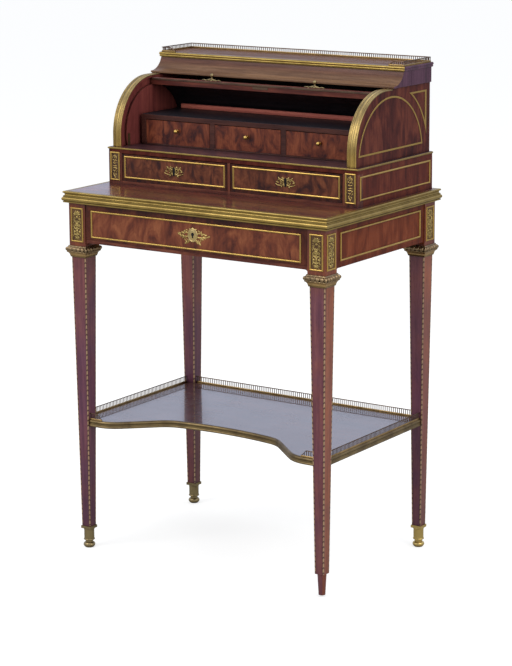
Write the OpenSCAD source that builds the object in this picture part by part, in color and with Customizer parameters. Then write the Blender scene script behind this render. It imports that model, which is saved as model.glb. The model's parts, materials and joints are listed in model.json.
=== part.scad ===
// Cylinder-top bonheur du jour: a small writing table on four square tapered legs,
// with a step box and a roll-top superstructure. X runs across, Y runs to the back,
// Z is up, and the origin is on the floor under the middle of the leg blocks.

/* [Writing table] */
// Height of the table top's upper face above the floor
table_h = 740; // [700:5:780]
// Width over the leg blocks
frieze_w = 604; // [590:2:640]
// Depth over the leg blocks
frieze_d = 410; // [400:2:440]
// Height of the leg blocks
frieze_h = 90; // [84:1:100]
// Thickness of the table top board
top_t = 20; // [16:1:24]
// Thickness of the frieze rails
rail_t = 18; // [14:1:20]
// Rise of the rails' undersides above those of the leg blocks
rail_rise = 8; // [4:1:10]
// Set-back of the side rails behind the faces of the leg blocks
rail_set = 2; // [1:0.5:4]
// Height of the low rail under the frieze drawer
low_rail_h = 7; // [5:1:9]
// Radius of the quarter-round brackets under the rails' ends
bracket_r = 7; // [3:0.5:7.5]
// Depth of the housing in the table top that the step box stands in
housing = 1; // [0.5:0.5:2]

/* [Legs] */
// Side of the square leg block
block_s = 40; // [38:1:46]
// Side of the leg just under its capital
leg_top = 34; // [31:1:36]
// Side of the leg at its shoulder
leg_foot = 20; // [19:1:22]
// Height of the leg's shoulder above the floor
shoulder_z = 46; // [44:1:56]
// Height of the capital
capital_h = 23; // [20:1:28]
// Overhang of the capital beyond the leg block
capital_out = 7; // [5:0.5:9]
// Clearance of the bare spigot above the floor
spigot_up = 4; // [2:1:14]

/* [Shelf] */
// Height of the shelf's upper face above the floor
shelf_z = 272; // [250:2:320]
// Thickness of the shelf board
shelf_t = 12; // [10:1:16]
// Overlap of the shelf past the legs' inner faces
shelf_over = 23.5; // [4:0.5:24]
// Height of the shelf's brass edge moulding
shelf_edge_h = 14; // [13:0.5:18]
// Depth of the hollow in the shelf's front edge
hollow_d = 96; // [80:2:110]
// Height of the gallery round the shelf
shelf_gallery_h = 14; // [10:0.5:16]
// Spacing of the bars of the shelf's gallery
shelf_pitch = 4.5; // [4:0.1:9]

/* [Step box] */
// Height of the step box
step_h = 75; // [70:1:85]
// Set-back of the step box's front behind the leg blocks' front faces
step_set = 124; // [110:2:130]
// Inset of the step box's sides from the leg blocks' side faces
step_in = 7; // [5:1:12]
// Thickness of the step box's sides, back and top board
step_t = 12; // [10:1:13]
// Width of the corner posts
post_w = 33; // [30:1:38]
// Depth of the corner posts
post_d = 21; // [16:1:26]
// Thickness of the base board under the step drawers
base_t = 7; // [5:1:9]
// Thickness of the partition between the step drawers
partition_t = 7; // [5:1:10]

/* [Drawers] */
// Thickness of the fronts of the frieze and step drawers
front_t = 14; // [12:1:16]
// Thickness of the drawers' sides and backs
side_t = 8; // [6:0.5:9]
// Thickness of the drawers' bottoms
bottom_t = 5; // [4:0.5:6]
// Width of the frieze drawer's runners inside the leg blocks
runner_w = 14; // [10:1:16]
// Height of the guides beside the frieze drawer above its runners
guide_h = 28; // [20:1:32]
// Height of the guides beside the step drawers above their base board
step_guide_h = 18; // [12:1:22]
// Distance of the frieze drawer's back in front of the table's rear edge
drawer_rear = 45; // [40:5:80]
// Clear space between the step drawers and the cylinder's slot
slot_clear = 13; // [8:1:20]

/* [Gables and cylinder] */
// Inset of the gables from the step box's sides
gable_in = 7; // [4:1:9]
// Thickness of the gables
gable_t = 20; // [18:1:24]
// Radius of the gables' quarter-round front
arc_r = 110; // [106:1:116]
// Height of the cylinder's axis above the step box's top
arc_rise = 25; // [24:0.5:28]
// Thickness of the brass arc mouldings, which is also how far they stand out
arc_brass = 3; // [2:0.5:4]
// Thickness of the cylinder shell
shell_t = 14; // [10:1:16]
// Rim of wood left between the cylinder's groove and the gable's edge
groove_rim = 3.2; // [3:0.2:5]
// Depth of the grooves that guide the cylinder
groove_d = 5; // [4:0.5:7]
// Running clearance of the cylinder in its grooves
run_gap = 0.3; // [0.2:0.1:0.6]
// Thickness of the back panel between the gables
upper_back_t = 8; // [6:0.5:10]
// Angle spanned by the cylinder shell
shell_sweep = 112; // [110:1:114]
// Angle of the shell's leading edge above the horizontal when open
open_angle = 87.5; // [86:0.5:88.5]
// Distance between the cylinder's pulls
pull_span = 246; // [180:2:300]
// Height of the pulls' balls above the cylinder
pull_h = 13; // [11:0.5:14]

/* [Inner drawers] */
// Width of the dark gap between a gable and the drawer case
case_gap = 7; // [4:1:10]
// Set-back of the drawer case behind the gables' fronts
case_set = 59; // [50:1:64]
// Height of the drawer case
case_h = 62; // [56:1:64]
// Thickness of the case's sides and dividers
case_t = 12; // [8:1:13]
// Thickness of the case's top board
case_top_t = 10; // [7:1:11]
// Height of the upstand along the case's rear edge
upstand_h = 9.5; // [6:0.5:10]
// Diameter of the inner drawers' ball knobs
knob_d = 8.5; // [7:0.5:10]

/* [Top] */
// Height of the hollow frieze under the top board
cavetto_h = 30; // [26:1:36]
// Distance of the frieze's lip behind the cylinder's axis
lip_set = 24; // [12:0.5:30]
// Flare of the hollow frieze from its lip back to its top
cavetto_flare = 35; // [30:1:42]
// Radius of the hollow
cavetto_r = 37.2; // [36:0.2:40]
// Depth of the timber behind the hollow's upper edge
cavetto_back = 30; // [20:1:40]
// Thickness of the top board
slab_t = 9.5; // [8:0.5:14]
// Projection of the gables' frieze beyond the gables
band_out = 3.5; // [2:0.5:5]
// Width by which the brass top moulding laps over the top board, under the gallery
lap = 4.2; // [3.6:0.2:6]
// Height of the top gallery
top_gallery_h = 10.5; // [9:0.5:14]
// Spacing of the bars of the top gallery
top_pitch = 4.4; // [4:0.1:7]

/* [Brass] */
// Width of the half-round strips of the brass frames
strip_w = 3.8; // [2.4:0.2:4.4]
// Width of the flat inlaid stringing on the gables
string_w = 3.4; // [1.6:0.2:4]
// Thickness of the cast foliate mounts
mount_t = 2; // [1.4:0.2:3]
// Height of the table top's stepped edge moulding
edge_h = 22.7; // [21:0.1:24]

/* [Hidden] */
$fn = 48;

mahogany = "#7a3620";
dark_wood = "#3c1c14";
lining = "#9a6a42";
brass = "#c9a24b";

// Plan positions
bx = frieze_w / 2;
by = frieze_d / 2;
leg_x = bx - block_s / 2;
leg_y = by - block_s / 2;
inner_x = bx - block_s;
inner_y = by - block_s;
step_x = bx - step_in;
step_y = -by + step_set;
gable_x = step_x - gable_in;
gable_ix = gable_x - gable_t;

// Heights
under_z = table_h - top_t;
block_z = under_z - frieze_h;
rail_z = block_z + rail_rise;
neck_z = block_z - capital_h - 1.5;
step_z = table_h + step_h;
step_under = step_z - step_t;
foot_z = table_h - housing;

// Cylinder, with angles measured at its axis from the front horizontal upwards
gable_y = step_y + 7;
arc_y = gable_y + arc_r;
arc_z = step_z + arc_rise;
gable_top = arc_z + arc_r + arc_brass;
shell_ro = arc_r - groove_rim - run_gap;
shell_ri = shell_ro - shell_t;
shell_x = gable_ix + groove_d - run_gap - 0.2;
lip_t = 1.5;
// Largest angle under the horizontal at which the leading edge clears the step box
shut_angle = asin((arc_rise - 0.3 - lip_t) / shell_ro);

// Drawer case
case_x = gable_ix - case_gap;
case_y = gable_y + case_set;
case_z = step_z + case_h;
case_clear = 4;
case_y1 = arc_y + sqrt(pow(shell_ri, 2) - pow(case_z + upstand_h - arc_z, 2)) - case_clear;
case_floor_t = 3;
case_back_t = 8;
case_in = case_x - case_t;
inner_div = (2 * case_in - 2 * case_t) / 3;

// Top
lip_y = arc_y + lip_set;
band_x = gable_x + band_out;
slab_y = lip_y + cavetto_flare + 2;
slab_z = gable_top + cavetto_h;
slab_top = slab_z + slab_t;
band_t = gable_t;
lap_t = 1.5;

// The slot through which the open cylinder's rear edge dips into the step box
slot_y0 = arc_y + sqrt(pow(shell_ri, 2) - pow(arc_rise + step_t, 2)) - 3;
slot_y1 = arc_y + sqrt(pow(shell_ro, 2) - pow(arc_rise, 2)) + 3;

// Lengths of moulding and a drawer's boards are cut this much short, so that they butt with a fine seam
seam = 0.04;

// Drawers
slack = 1;
run_h = 0.3;
low_rail_z = rail_z + low_rail_h;
frieze_drawer_z = low_rail_z + run_h;
frieze_drawer_h = min(under_z, table_h - edge_h) - slack - frieze_drawer_z;
frieze_drawer_y1 = by - drawer_rear;
step_drawer_z = table_h + base_t + run_h;
step_drawer_h = step_under - slack - step_drawer_z;
step_drawer_y1 = slot_y0 - slot_clear;
step_drawer_x0 = partition_t / 2 + slack;
step_drawer_x1 = step_x - post_w - slack;
inner_z = step_z + case_floor_t + run_h;
inner_h = case_z - case_top_t - slack - inner_z;
inner_y1 = case_y1 - case_back_t - 6;

// Helpers

module box(x0, x1, y0, y1, z0, z1)
    translate([x0, y0, z0]) cube([x1 - x0, y1 - y0, z1 - z0]);

// Repeats its children at both sides, mirrored
module both_sides() {
    children();
    mirror([1, 0, 0]) children();
}

// Lays children drawn in XY, with Z as their height, on a face that looks to the front
module on_front(x, y, z)
    translate([x, y, z]) rotate([90, 0, 0]) children();

// The same, on a face that looks to the right
module on_right(x, y, z)
    translate([x, y, z]) rotate([90, 0, 90]) children();

// Extrudes a YZ outline along X from x0 to x1
module along_x(x0, x1)
    translate([x0, 0, 0]) rotate([90, 0, 90]) linear_extrude(x1 - x0) children();

// One mitred length of moulding along Y. The profile's x is outward and its y is up, and it
// reaches out beyond the board's edge and in over the board.
module mitre_run(length, out, in) {
    half = length / 2 - seam;
    intersection() {
        rotate([90, 0, 0]) linear_extrude(length + 2 * out, center = true) children();
        translate([0, 0, -length]) linear_extrude(2 * length)
            polygon([[-in, in - half], [out, -half - out], [out, half + out], [-in, half - in]]);
    }
}

// Four mitred lengths of moulding round a board of w by d
module ring(w, d, out, in = 0) {
    for (k = [0, 180]) rotate(k) translate([w / 2, 0, 0]) mitre_run(d, out, in) children();
    for (k = [90, 270]) rotate(k) translate([d / 2, 0, 0]) mitre_run(w, out, in) children();
}

module half_round()
    intersection() {
        translate([strip_w / 2, 0]) circle(d = strip_w);
        square([strip_w, strip_w]);
    }

// A brass frame of half-round strip, w by h outside
module strip_frame(w, h)
    ring(w - 2 * strip_w, h - 2 * strip_w, strip_w) half_round();

// A pointed leaf of length l and width w, its stem at the origin
module leaf(l, w) {
    r = (l * l / 4 + w * w / 4) / w;
    translate([l / 2, 0]) intersection() {
        translate([0, r - w / 2]) circle(r);
        translate([0, w / 2 - r]) circle(r);
    }
}

// A spray of scrolling foliage either side of a boss, s wide in all
module spray(s) {
    both_sides() {
        translate([0.1 * s, 0]) rotate(-8) leaf(0.4 * s, 0.14 * s);
        translate([0.12 * s, 0.02 * s]) rotate(32) leaf(0.26 * s, 0.1 * s);
        translate([0.12 * s, -0.02 * s]) rotate(-48) leaf(0.24 * s, 0.1 * s);
        translate([0.33 * s, -0.02 * s]) rotate(38) leaf(0.14 * s, 0.06 * s);
        translate([0.33 * s, -0.04 * s]) rotate(-52) leaf(0.14 * s, 0.06 * s);
        rotate(62) leaf(0.28 * s, 0.1 * s);
    }
    rotate(-90) leaf(0.3 * s, 0.12 * s);
    circle(0.15 * s);
}

// A cast escutcheon with a keyhole of radius key_r
module escutcheon(s, key_r)
    linear_extrude(mount_t) difference() {
        spray(s);
        circle(key_r);
        translate([-key_r / 2, -2.6 * key_r]) square([key_r, 2.6 * key_r]);
    }

// A hanging string of husks under a bow, inside a frame w by h
module pendant(w, h) {
    husk = (h - 0.5 * w) / 4;
    linear_extrude(mount_t) {
        translate([0, h / 2 - 0.25 * w]) circle(0.17 * w);
        both_sides() translate([0, h / 2 - 0.25 * w]) rotate(20) leaf(0.42 * w, 0.2 * w);
        for (k = [0 : 3]) translate([0, h / 2 - 0.35 * w - k * husk]) {
            rotate(-90) leaf(husk * 1.1, 0.26 * w);
            both_sides() rotate(-38) leaf(0.42 * w, 0.18 * w);
        }
    }
}

// A pierced gallery strip standing on z = 0, centred on the origin along X
rail_w = 2.2;
rail_h = 1.8;
bar_w = 1.3;
module gallery_strip(length, h, pitch) {
    n = floor((length - 4) / pitch);
    first = (length - n * pitch) / 2;
    translate([-length / 2, 0, 0]) {
        translate([0, -rail_w / 2, 0]) cube([length, rail_w, rail_h]);
        translate([0, -rail_w / 2, h - rail_h]) cube([length, rail_w, rail_h]);
        rotate([90, 0, 0]) linear_extrude(1.1, center = true) difference() {
            square([length, h]);
            for (i = [0 : n - 1]) translate([first + i * pitch + bar_w / 2, rail_h])
                square([pitch - bar_w, h - 2 * rail_h]);
        }
    }
}

// A small volute that ends a gallery's front return, standing in the XZ plane
module gallery_scroll(h)
    rotate([90, 0, 0]) linear_extrude(rail_w, center = true) difference() {
        union() {
            translate([0, h * 0.3]) circle(h * 0.3);
            square([h * 0.5, h]);
        }
        translate([-h * 0.28, h * 0.62 + h * 0.18]) circle(h * 0.36);
    }

// The sides, back and bottom of a drawer, which butt with a fine seam
module drawer_box(x0, x1, y0, y1, z0, h) {
    in_x0 = x0 + side_t + seam;
    in_x1 = x1 - side_t - seam;
    box(x0, x0 + side_t, y0, y1, z0, z0 + h);
    box(x1 - side_t, x1, y0, y1, z0, z0 + h);
    box(in_x0, in_x1, y1 - side_t, y1, z0, z0 + h);
    box(in_x0, in_x1, y0, y1 - side_t - seam, z0, z0 + bottom_t);
}

// Legs

// The side of the tapered leg at a height
function leg_side(z) = leg_foot + (leg_top - leg_foot) * (z - shoulder_z) / (neck_z - shoulder_z);

// The tapered shaft alone, also cut from what stands against it
module leg_shaft()
    translate([0, 0, shoulder_z]) rotate(45)
        cylinder(h = neck_z - shoulder_z, d1 = leg_foot * sqrt(2), d2 = leg_top * sqrt(2), $fn = 4);

module leg(sx, sy, spigot_end) {
    peg_r = leg_foot * 0.45;
    color(mahogany) translate([sx * leg_x, sy * leg_y, 0]) {
        translate([-block_s / 2, -block_s / 2, block_z]) cube([block_s, block_s, frieze_h]);
        translate([-leg_top / 2, -leg_top / 2, neck_z]) cube([leg_top, leg_top, block_z - neck_z]);
        leg_shaft();
        translate([0, 0, spigot_end])
            cylinder(h = shoulder_z - spigot_end, r1 = peg_r - (shoulder_z - spigot_end) * 0.055, r2 = peg_r);
    }
}

sabot_peg_z = 20;
module leg_front_left() leg(-1, -1, sabot_peg_z);
module leg_front_right() leg(1, -1, spigot_up);
module leg_rear_left() leg(-1, 1, sabot_peg_z);
module leg_rear_right() leg(1, 1, sabot_peg_z);

module at_legs()
    for (sx = [-1, 1], sy = [-1, 1]) translate([sx * leg_x, sy * leg_y, 0]) children();

// The capital's outline: abacus, leaf-cast torus, hollow and lower fillet
module capital_outline() {
    half = block_s / 2;
    out = half + capital_out;
    low = leg_top / 2 + 2;
    tr = 4.6;
    translate([-half - 2, -2.4]) square([2 * half + 4, 2.4]);
    both_sides() translate([out - tr, -2.4 - tr]) circle(tr);
    translate([-(out - tr), -2.4 - 2 * tr]) square([2 * (out - tr), 2 * tr]);
    difference() {
        translate([-out + 2.6, -capital_h + 2]) square([2 * out - 5.2, capital_h - 2 - 2.4 - 2 * tr]);
        both_sides() translate([out + 0.6, -capital_h + 2.6]) circle(out + 0.6 - low - 0.6);
    }
    translate([-low, -capital_h]) square([2 * low, 3]);
}

module capitals()
    color(brass) at_legs() difference() {
        intersection() {
            translate([0, 0, block_z]) rotate([90, 0, 0])
                linear_extrude(3 * block_s, center = true) capital_outline();
            translate([0, 0, block_z]) rotate([90, 0, 90])
                linear_extrude(3 * block_s, center = true) capital_outline();
        }
        translate([-leg_top / 2, -leg_top / 2, neck_z - 5]) cube([leg_top, leg_top, capital_h + 10]);
    }

// The turned part of a brass foot: bun, waist, ring, tube
module sabot_turned() {
    tube = leg_foot / 2 + 0.4;
    rotate_extrude() difference() {
        union() {
            square([8.4, 2]);
            translate([0, 1]) square([9.5, 9]);
            translate([7, 5.8]) circle(5);
            translate([0, 10]) square([7.6, 6]);
            translate([tube - 0.4, 17]) circle(1.5);
            translate([0, 15.5]) square([tube - 0.4, 3]);
            translate([0, 18]) square([tube, shoulder_z - 5 - 18]);
            translate([tube - 0.6, shoulder_z - 7]) circle(1.5);
        }
        translate([-20, -20]) square([20, 100]);
        translate([0, -10]) square([40, 10]);
    }
}

module sabots()
    color(brass) for (p = [[-1, -1], [-1, 1], [1, 1]])
        translate([p[0] * leg_x, p[1] * leg_y, 0]) difference() {
            union() {
                sabot_turned();
                translate([-leg_foot / 2 - 1.8, -leg_foot / 2 - 1.8, shoulder_z - 5.5])
                    cube([leg_foot + 3.6, leg_foot + 3.6, 5.5]);
            }
            translate([0, 0, sabot_peg_z])
                cylinder(h = shoulder_z - sabot_peg_z,
                         r1 = leg_foot * 0.45 - (shoulder_z - sabot_peg_z) * 0.055, r2 = leg_foot * 0.45);
        }

// Frieze

// The quarter-round brackets under the two ends of a rail that runs along Y
module brackets(length, thick)
    for (k = [0, 180]) rotate(k) translate([0, length / 2, 0]) rotate([90, 0, 90])
        translate([0, 0, -thick / 2]) linear_extrude(thick) difference() {
            translate([-bracket_r, -bracket_r]) square(bracket_r);
            translate([-bracket_r, -bracket_r]) circle(bracket_r);
        }

module side_rail() {
    x1 = bx - rail_set;
    box(x1 - rail_t, x1, -inner_y, inner_y, rail_z, under_z);
    translate([x1 - rail_t / 2, 0, rail_z]) brackets(2 * inner_y, rail_t);
}

module rail_left() color(mahogany) mirror([1, 0, 0]) side_rail();
module rail_right() color(mahogany) side_rail();
module rail_back()
    color(mahogany) box(-inner_x, inner_x, by - rail_set - rail_t, by - rail_set, rail_z, under_z);

module front_rail()
    color(mahogany) {
        box(-inner_x, inner_x, -by + rail_set, -by + rail_set + rail_t, rail_z, low_rail_z);
        translate([0, -by + rail_set + rail_t / 2, rail_z]) rotate(90) brackets(2 * inner_x, rail_t);
    }

// Runner and guide for one side of the frieze drawer, between the front rail and the back rail
module drawer_runners() {
    x1 = bx - rail_set - rail_t;
    y0 = -by + rail_set + rail_t;
    y1 = by - rail_set - rail_t;
    guide_x = inner_x + run_h;
    color(lining) both_sides() difference() {
        union() {
            box(inner_x - runner_w, x1, y0, y1, rail_z + 1, low_rail_z);
            box(guide_x, x1, y0, y1, rail_z + 1, low_rail_z + guide_h);
        }
        for (sy = [-1, 1]) translate([leg_x - block_s / 2, sy * leg_y - block_s / 2, 0])
            cube([block_s, block_s, table_h]);
    }
}

module table_top()
    color(mahogany) difference() {
        box(-bx, bx, -by, by, under_z, table_h);
        box(-step_x, step_x, step_y, by + 1, foot_z, table_h + 1);
    }

// The stepped edge moulding: lower fillet, torus, middle fillet, hollow, upper bead
edge_out = 10.6;
module edge_profile() {
    torus_r = 4.3;
    difference() {
        union() {
            square([6.4, edge_h]);
            square([8.4, 2.6]);
            translate([0, 11.4]) square([8.2, 2.2]);
            translate([edge_out - torus_r, 7.2]) circle(torus_r);
            translate([6.9, edge_h - 2]) circle(2);
        }
        translate([8.2, edge_h - 6.5]) circle(2.5);
        translate([-20, -5]) square([20, 60]);
    }
}

module table_moulding()
    color(brass) translate([0, 0, table_h - edge_h]) ring(frieze_w, frieze_d, edge_out) edge_profile();

// Brass frames on the frieze sides and on the outward faces of the leg blocks
side_frame_in = 15;
frame_up = 11.5;
frame_down = 15;
block_frame_w = block_s - 9;
block_frame_h = frieze_h - 20;
block_frame_z = block_z + 8 + block_frame_h / 2;
module frieze_frames() {
    frame_h = under_z - frame_down - (rail_z + frame_up);
    side_w = 2 * (inner_y - side_frame_in);
    mid_z = (under_z - frame_down + rail_z + frame_up) / 2;
    color(brass) both_sides() {
        on_right(bx - rail_set, 0, mid_z) strip_frame(side_w, frame_h);
        for (sy = [-1, 1]) on_right(bx, sy * leg_y, block_frame_z) strip_frame(block_frame_w, block_frame_h);
        on_front(leg_x, -by, block_frame_z) strip_frame(block_frame_w, block_frame_h);
    }
}

module block_mounts() {
    w = block_frame_w - 2 * strip_w - 2;
    h = block_frame_h - 2 * strip_w - 4;
    color(brass) both_sides() {
        for (sy = [-1, 1]) on_right(bx, sy * leg_y, block_frame_z) pendant(w, h);
        on_front(leg_x, -by, block_frame_z) pendant(w, h);
    }
}

// Shelf, with its front edge drawn as a wide hollow, two tighter bends, two straight slopes
// and two outward bends that run into the straight horns beside the front legs
leg_in = leg_side(shelf_z) / 2;
shelf_x = leg_x - leg_in + shelf_over;
shelf_y1 = leg_y;
horn_y = -leg_y - 10;
brass_t = 5;
leg_slack = 0.2;
leg_notch = leg_side(shelf_z + shelf_gallery_h) + 2 * leg_slack;
hollow_a = 10;
hollow_r = 628;
bend_a = 42;
bend_r = 70;
flat_drop = hollow_r * (1 - cos(hollow_a));
slope_l = (hollow_d - flat_drop - bend_r * (1 + cos(hollow_a) - 2 * cos(bend_a))) / sin(bend_a);
hollow_y = horn_y + hollow_d;
bend_n = [sin(bend_a), cos(bend_a)];
c1 = [(hollow_r - bend_r) * sin(hollow_a), hollow_y - flat_drop - bend_r * cos(hollow_a)];
c2 = c1 + 2 * bend_r * bend_n + slope_l * [cos(bend_a), -sin(bend_a)];

// The plan inside the front edge, with the edge moved back by t
module shelf_plan(t) {
    q1 = c1 + (bend_r + t) * bend_n;
    q2 = c2 - (bend_r - t) * bend_n;
    far = horn_y - 50;
    difference() {
        translate([-shelf_x + t, horn_y + t]) square([2 * (shelf_x - t), shelf_y1 - t - horn_y - t]);
        intersection() {
            translate([0, hollow_y - hollow_r]) circle(hollow_r + t);
            square([2 * (hollow_r + t) * sin(hollow_a), 4 * hollow_r], center = true);
        }
        both_sides() {
            translate(c1) circle(bend_r + t);
            difference() {
                polygon([c1, q1, q2, [c2[0], q2[1]], [c2[0], far], [c1[0], far]]);
                translate(c2) circle(bend_r - t);
            }
        }
    }
}

// Cuts the straight notches that the legs stand in
module shelf_cut_for_legs()
    difference() {
        children();
        at_legs() translate([-leg_notch / 2, -leg_notch / 2, shelf_z - 2 * shelf_edge_h])
            cube([leg_notch, leg_notch, 4 * shelf_edge_h]);
    }

module shelf()
    color(mahogany) shelf_cut_for_legs()
        translate([0, 0, shelf_z - shelf_t]) linear_extrude(shelf_t) shelf_plan(brass_t);

// Moulding profile of the shelf: x is outward from the board's edge
module shelf_profile() {
    r = 3.2;
    intersection() {
        union() {
            square([brass_t - r, shelf_edge_h]);
            translate([brass_t - r, shelf_edge_h - r]) circle(r);
            translate([0, shelf_edge_h / 2 - 3]) square([brass_t - 1, 4]);
            translate([brass_t - 2.4, 2.4]) circle(2.4);
        }
        square([brass_t, shelf_edge_h]);
    }
}

// One bend of the moulding about a centre: its board edge is at radius r
module shelf_arc(centre, r, a0, a1) {
    cut = seam / r * 180 / PI;
    translate(centre) rotate(a0 + cut) rotate_extrude(angle = a1 - a0 - 2 * cut) translate([r, 0]) children();
}

module shelf_moulding() {
    wx = shelf_x - brass_t;
    horn_x = c2[0] + seam;
    color(brass) shelf_cut_for_legs() translate([0, 0, shelf_z - shelf_edge_h]) {
        shelf_arc([0, hollow_y - hollow_r], hollow_r + brass_t, 90 - hollow_a, 90 + hollow_a)
            mirror([1, 0]) shelf_profile();
        both_sides() {
            shelf_arc(c1, bend_r + brass_t, 90 - bend_a, 90 - hollow_a) mirror([1, 0]) shelf_profile();
            shelf_arc(c2, bend_r - brass_t, 270 - bend_a, 270) shelf_profile();
            translate(c2 - (bend_r - brass_t) * bend_n) rotate(270 - bend_a) rotate([90, 0, 0])
                translate([0, 0, seam]) linear_extrude(slope_l - 2 * seam) shelf_profile();
        }
        // The horns, the sides and the back, mitred at the corners
        intersection() {
            translate([0, (horn_y + shelf_y1) / 2, 0])
                ring(2 * wx, shelf_y1 - horn_y - 2 * brass_t, brass_t) shelf_profile();
            translate([0, 0, -1]) linear_extrude(shelf_edge_h + 2) difference() {
                translate([-shelf_x, horn_y]) square([2 * shelf_x, shelf_y1 - horn_y]);
                translate([-horn_x, horn_y - 1]) square([2 * horn_x, 2 * brass_t]);
            }
        }
    }
}

// Gallery of the shelf, between the legs: back, two sides, and the short returns at the front
return_l = 30;
module shelf_gallery() {
    in = 3.5;
    leg_side_x = leg_x - leg_notch / 2;
    color(brass) translate([0, 0, shelf_z]) {
        translate([0, shelf_y1 - in, 0]) gallery_strip(2 * leg_side_x, shelf_gallery_h, shelf_pitch);
        both_sides() {
            translate([shelf_x - in, 0, 0]) rotate(90)
                gallery_strip(2 * leg_y - leg_notch, shelf_gallery_h, shelf_pitch);
            translate([leg_side_x - return_l / 2, horn_y + in, 0])
                gallery_strip(return_l, shelf_gallery_h, shelf_pitch);
            translate([leg_side_x - return_l, horn_y + in, 0]) gallery_scroll(shelf_gallery_h);
        }
    }
}

// Step box

module step_base()
    color(lining) difference() {
        union() {
            box(-step_x + step_t, step_x - step_t, step_y, by - step_t, foot_z, table_h + base_t);
            both_sides() box(step_x - post_w + run_h, step_x - step_t, step_y + post_d, by - step_t,
                             foot_z, table_h + base_t + step_guide_h);
        }
        both_sides() box(step_x - post_w, step_x, step_y - 1, step_y + post_d, foot_z - 1, step_z);
        box(-partition_t / 2, partition_t / 2, step_y - 1, by, foot_z - 1, step_z);
    }

module step_side()
    box(step_x - step_t, step_x, step_y + post_d, by, foot_z, step_under);

module step_side_left() color(mahogany) mirror([1, 0, 0]) step_side();
module step_side_right() color(mahogany) step_side();

module step_posts()
    color(mahogany) both_sides() box(step_x - post_w, step_x, step_y, step_y + post_d, foot_z, step_under);

module step_partition()
    color(mahogany) box(-partition_t / 2, partition_t / 2, step_y, by - step_t, foot_z, step_under);

module step_back()
    color(dark_wood) box(-step_x + step_t, step_x - step_t, by - step_t, by, foot_z, step_under);

module step_top()
    color(mahogany) difference() {
        box(-step_x, step_x, step_y, by, step_under, step_z);
        box(-shell_x - 1, shell_x + 1, slot_y0, slot_y1, step_under - 1, step_z + 1);
    }

module step_line()
    color(brass) intersection() {
        translate([0, (step_y + by) / 2 + 10, step_z - strip_w - 0.4])
            ring(2 * step_x, by - step_y + 20, 1.7) intersection() {
                translate([0, strip_w / 2]) circle(d = strip_w);
                square([strip_w, strip_w]);
            }
        box(-bx, bx, -by, by, table_h, step_z);
    }

// Frames on the step box's sides and posts
post_frame_w = 24;
post_frame_h = step_h - 10;
post_frame_z = table_h + 4 + post_frame_h / 2;
module step_frames() {
    side_y0 = step_y + 9;
    side_y1 = by - 9;
    side_h = step_h - 28;
    color(brass) both_sides() {
        on_right(step_x, (side_y0 + side_y1) / 2, step_under - 4 - side_h / 2)
            strip_frame(side_y1 - side_y0, side_h);
        on_front(step_x - post_w / 2 + 1, step_y, post_frame_z - 0.5) strip_frame(post_frame_w, post_frame_h - 6);
    }
}

module step_mounts()
    color(brass) both_sides() on_front(step_x - post_w / 2 + 1, step_y, post_frame_z - 0.5)
        pendant(post_frame_w - 2 * strip_w - 1, post_frame_h - 6 - 2 * strip_w - 3);

// Gables

// Upright foot, quarter round, level stretch up to the frieze's lip, and the part under the frieze
module gable_outline(r) {
    intersection() {
        translate([arc_y, arc_z]) circle(r, $fn = 144);
        translate([arc_y - r, arc_z]) square(r);
    }
    translate([arc_y - r, step_z]) square([r, arc_rise]);
    translate([arc_y, step_z]) square([lip_y - arc_y, arc_rise + r]);
    translate([lip_y, step_z]) square([by - lip_y, gable_top - step_z]);
}

// A ring sector in the YZ plane between two angles above the front horizontal
module sector(r0, r1, a0, a1) {
    far = 2 * r1;
    span = a1 - a0;
    translate([arc_y, arc_z]) intersection() {
        difference() {
            circle(r1, $fn = 144);
            circle(r0, $fn = 144);
        }
        polygon(concat([[0, 0]], [for (k = [0 : 6]) [-far * cos(a0 + span * k / 6), far * sin(a0 + span * k / 6)]]));
    }
}

module gable()
    difference() {
        along_x(gable_ix, gable_x) gable_outline(arc_r);
        along_x(gable_ix - 1, gable_ix + groove_d)
            sector(shell_ri - run_gap, shell_ro + run_gap, -shut_angle - 2, open_angle + shell_sweep + 2);
    }

module gable_left() color(mahogany) mirror([1, 0, 0]) gable();
module gable_right() color(mahogany) gable();

// The reeded arc moulding on the gable's front edge: its profile's x runs across the gable
module arc_profile() {
    w = gable_t;
    intersection() {
        union() {
            square([w, 1.2]);
            translate([w / 2, -1.2]) circle(4.2);
            for (e = [1.4, 3.9, w - 3.9, w - 1.4]) translate([e, 0.9]) circle(1.3);
        }
        square([w, arc_brass]);
    }
}

module arc() {
    // Upright foot
    translate([gable_ix, gable_y, step_z]) linear_extrude(arc_rise) mirror([0, 1]) arc_profile();
    // Quarter round
    translate([gable_x, arc_y, arc_z]) rotate([90, 0, -90])
        rotate_extrude(angle = 90, $fn = 144) translate([arc_r, 0]) mirror([1, -1]) arc_profile();
    // Level stretch up to the frieze's lip
    translate([gable_ix, lip_y, arc_z + arc_r]) rotate([90, 0, 0])
        linear_extrude(lip_set - seam) arc_profile();
}

module arc_left() color(brass) mirror([1, 0, 0]) arc();
module arc_right() color(brass) arc();

// Arch and spandrel stringing on the gables' outer faces
arch_y = arc_y + 19;
arch_base = step_z + 18.5;
arch_top = gable_top - 14;
arch_rad = arch_top - step_z - 2;
spandrel_out = 18;
module arch(t)
    intersection() {
        translate([arch_y, step_z + 2]) circle(arch_rad - t, $fn = 144);
        translate([-by, arch_base + t]) square([2 * by, 2 * arc_r]);
    }

// The three-sided field in the upper rear corner, with a hollow lower side, inset by t, and
// more along its upright side
module spandrel(t)
    difference() {
        translate([arch_y, arch_base]) square([by - 14 - 1.7 * t - arch_y, arch_top - t - arch_base]);
        translate([arch_y, step_z + 2]) circle(arch_rad + spandrel_out + t, $fn = 144);
    }

module stringing_outline() {
    difference() {
        arch(0);
        arch(string_w);
    }
    difference() {
        spandrel(0);
        spandrel(string_w);
    }
}

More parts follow.
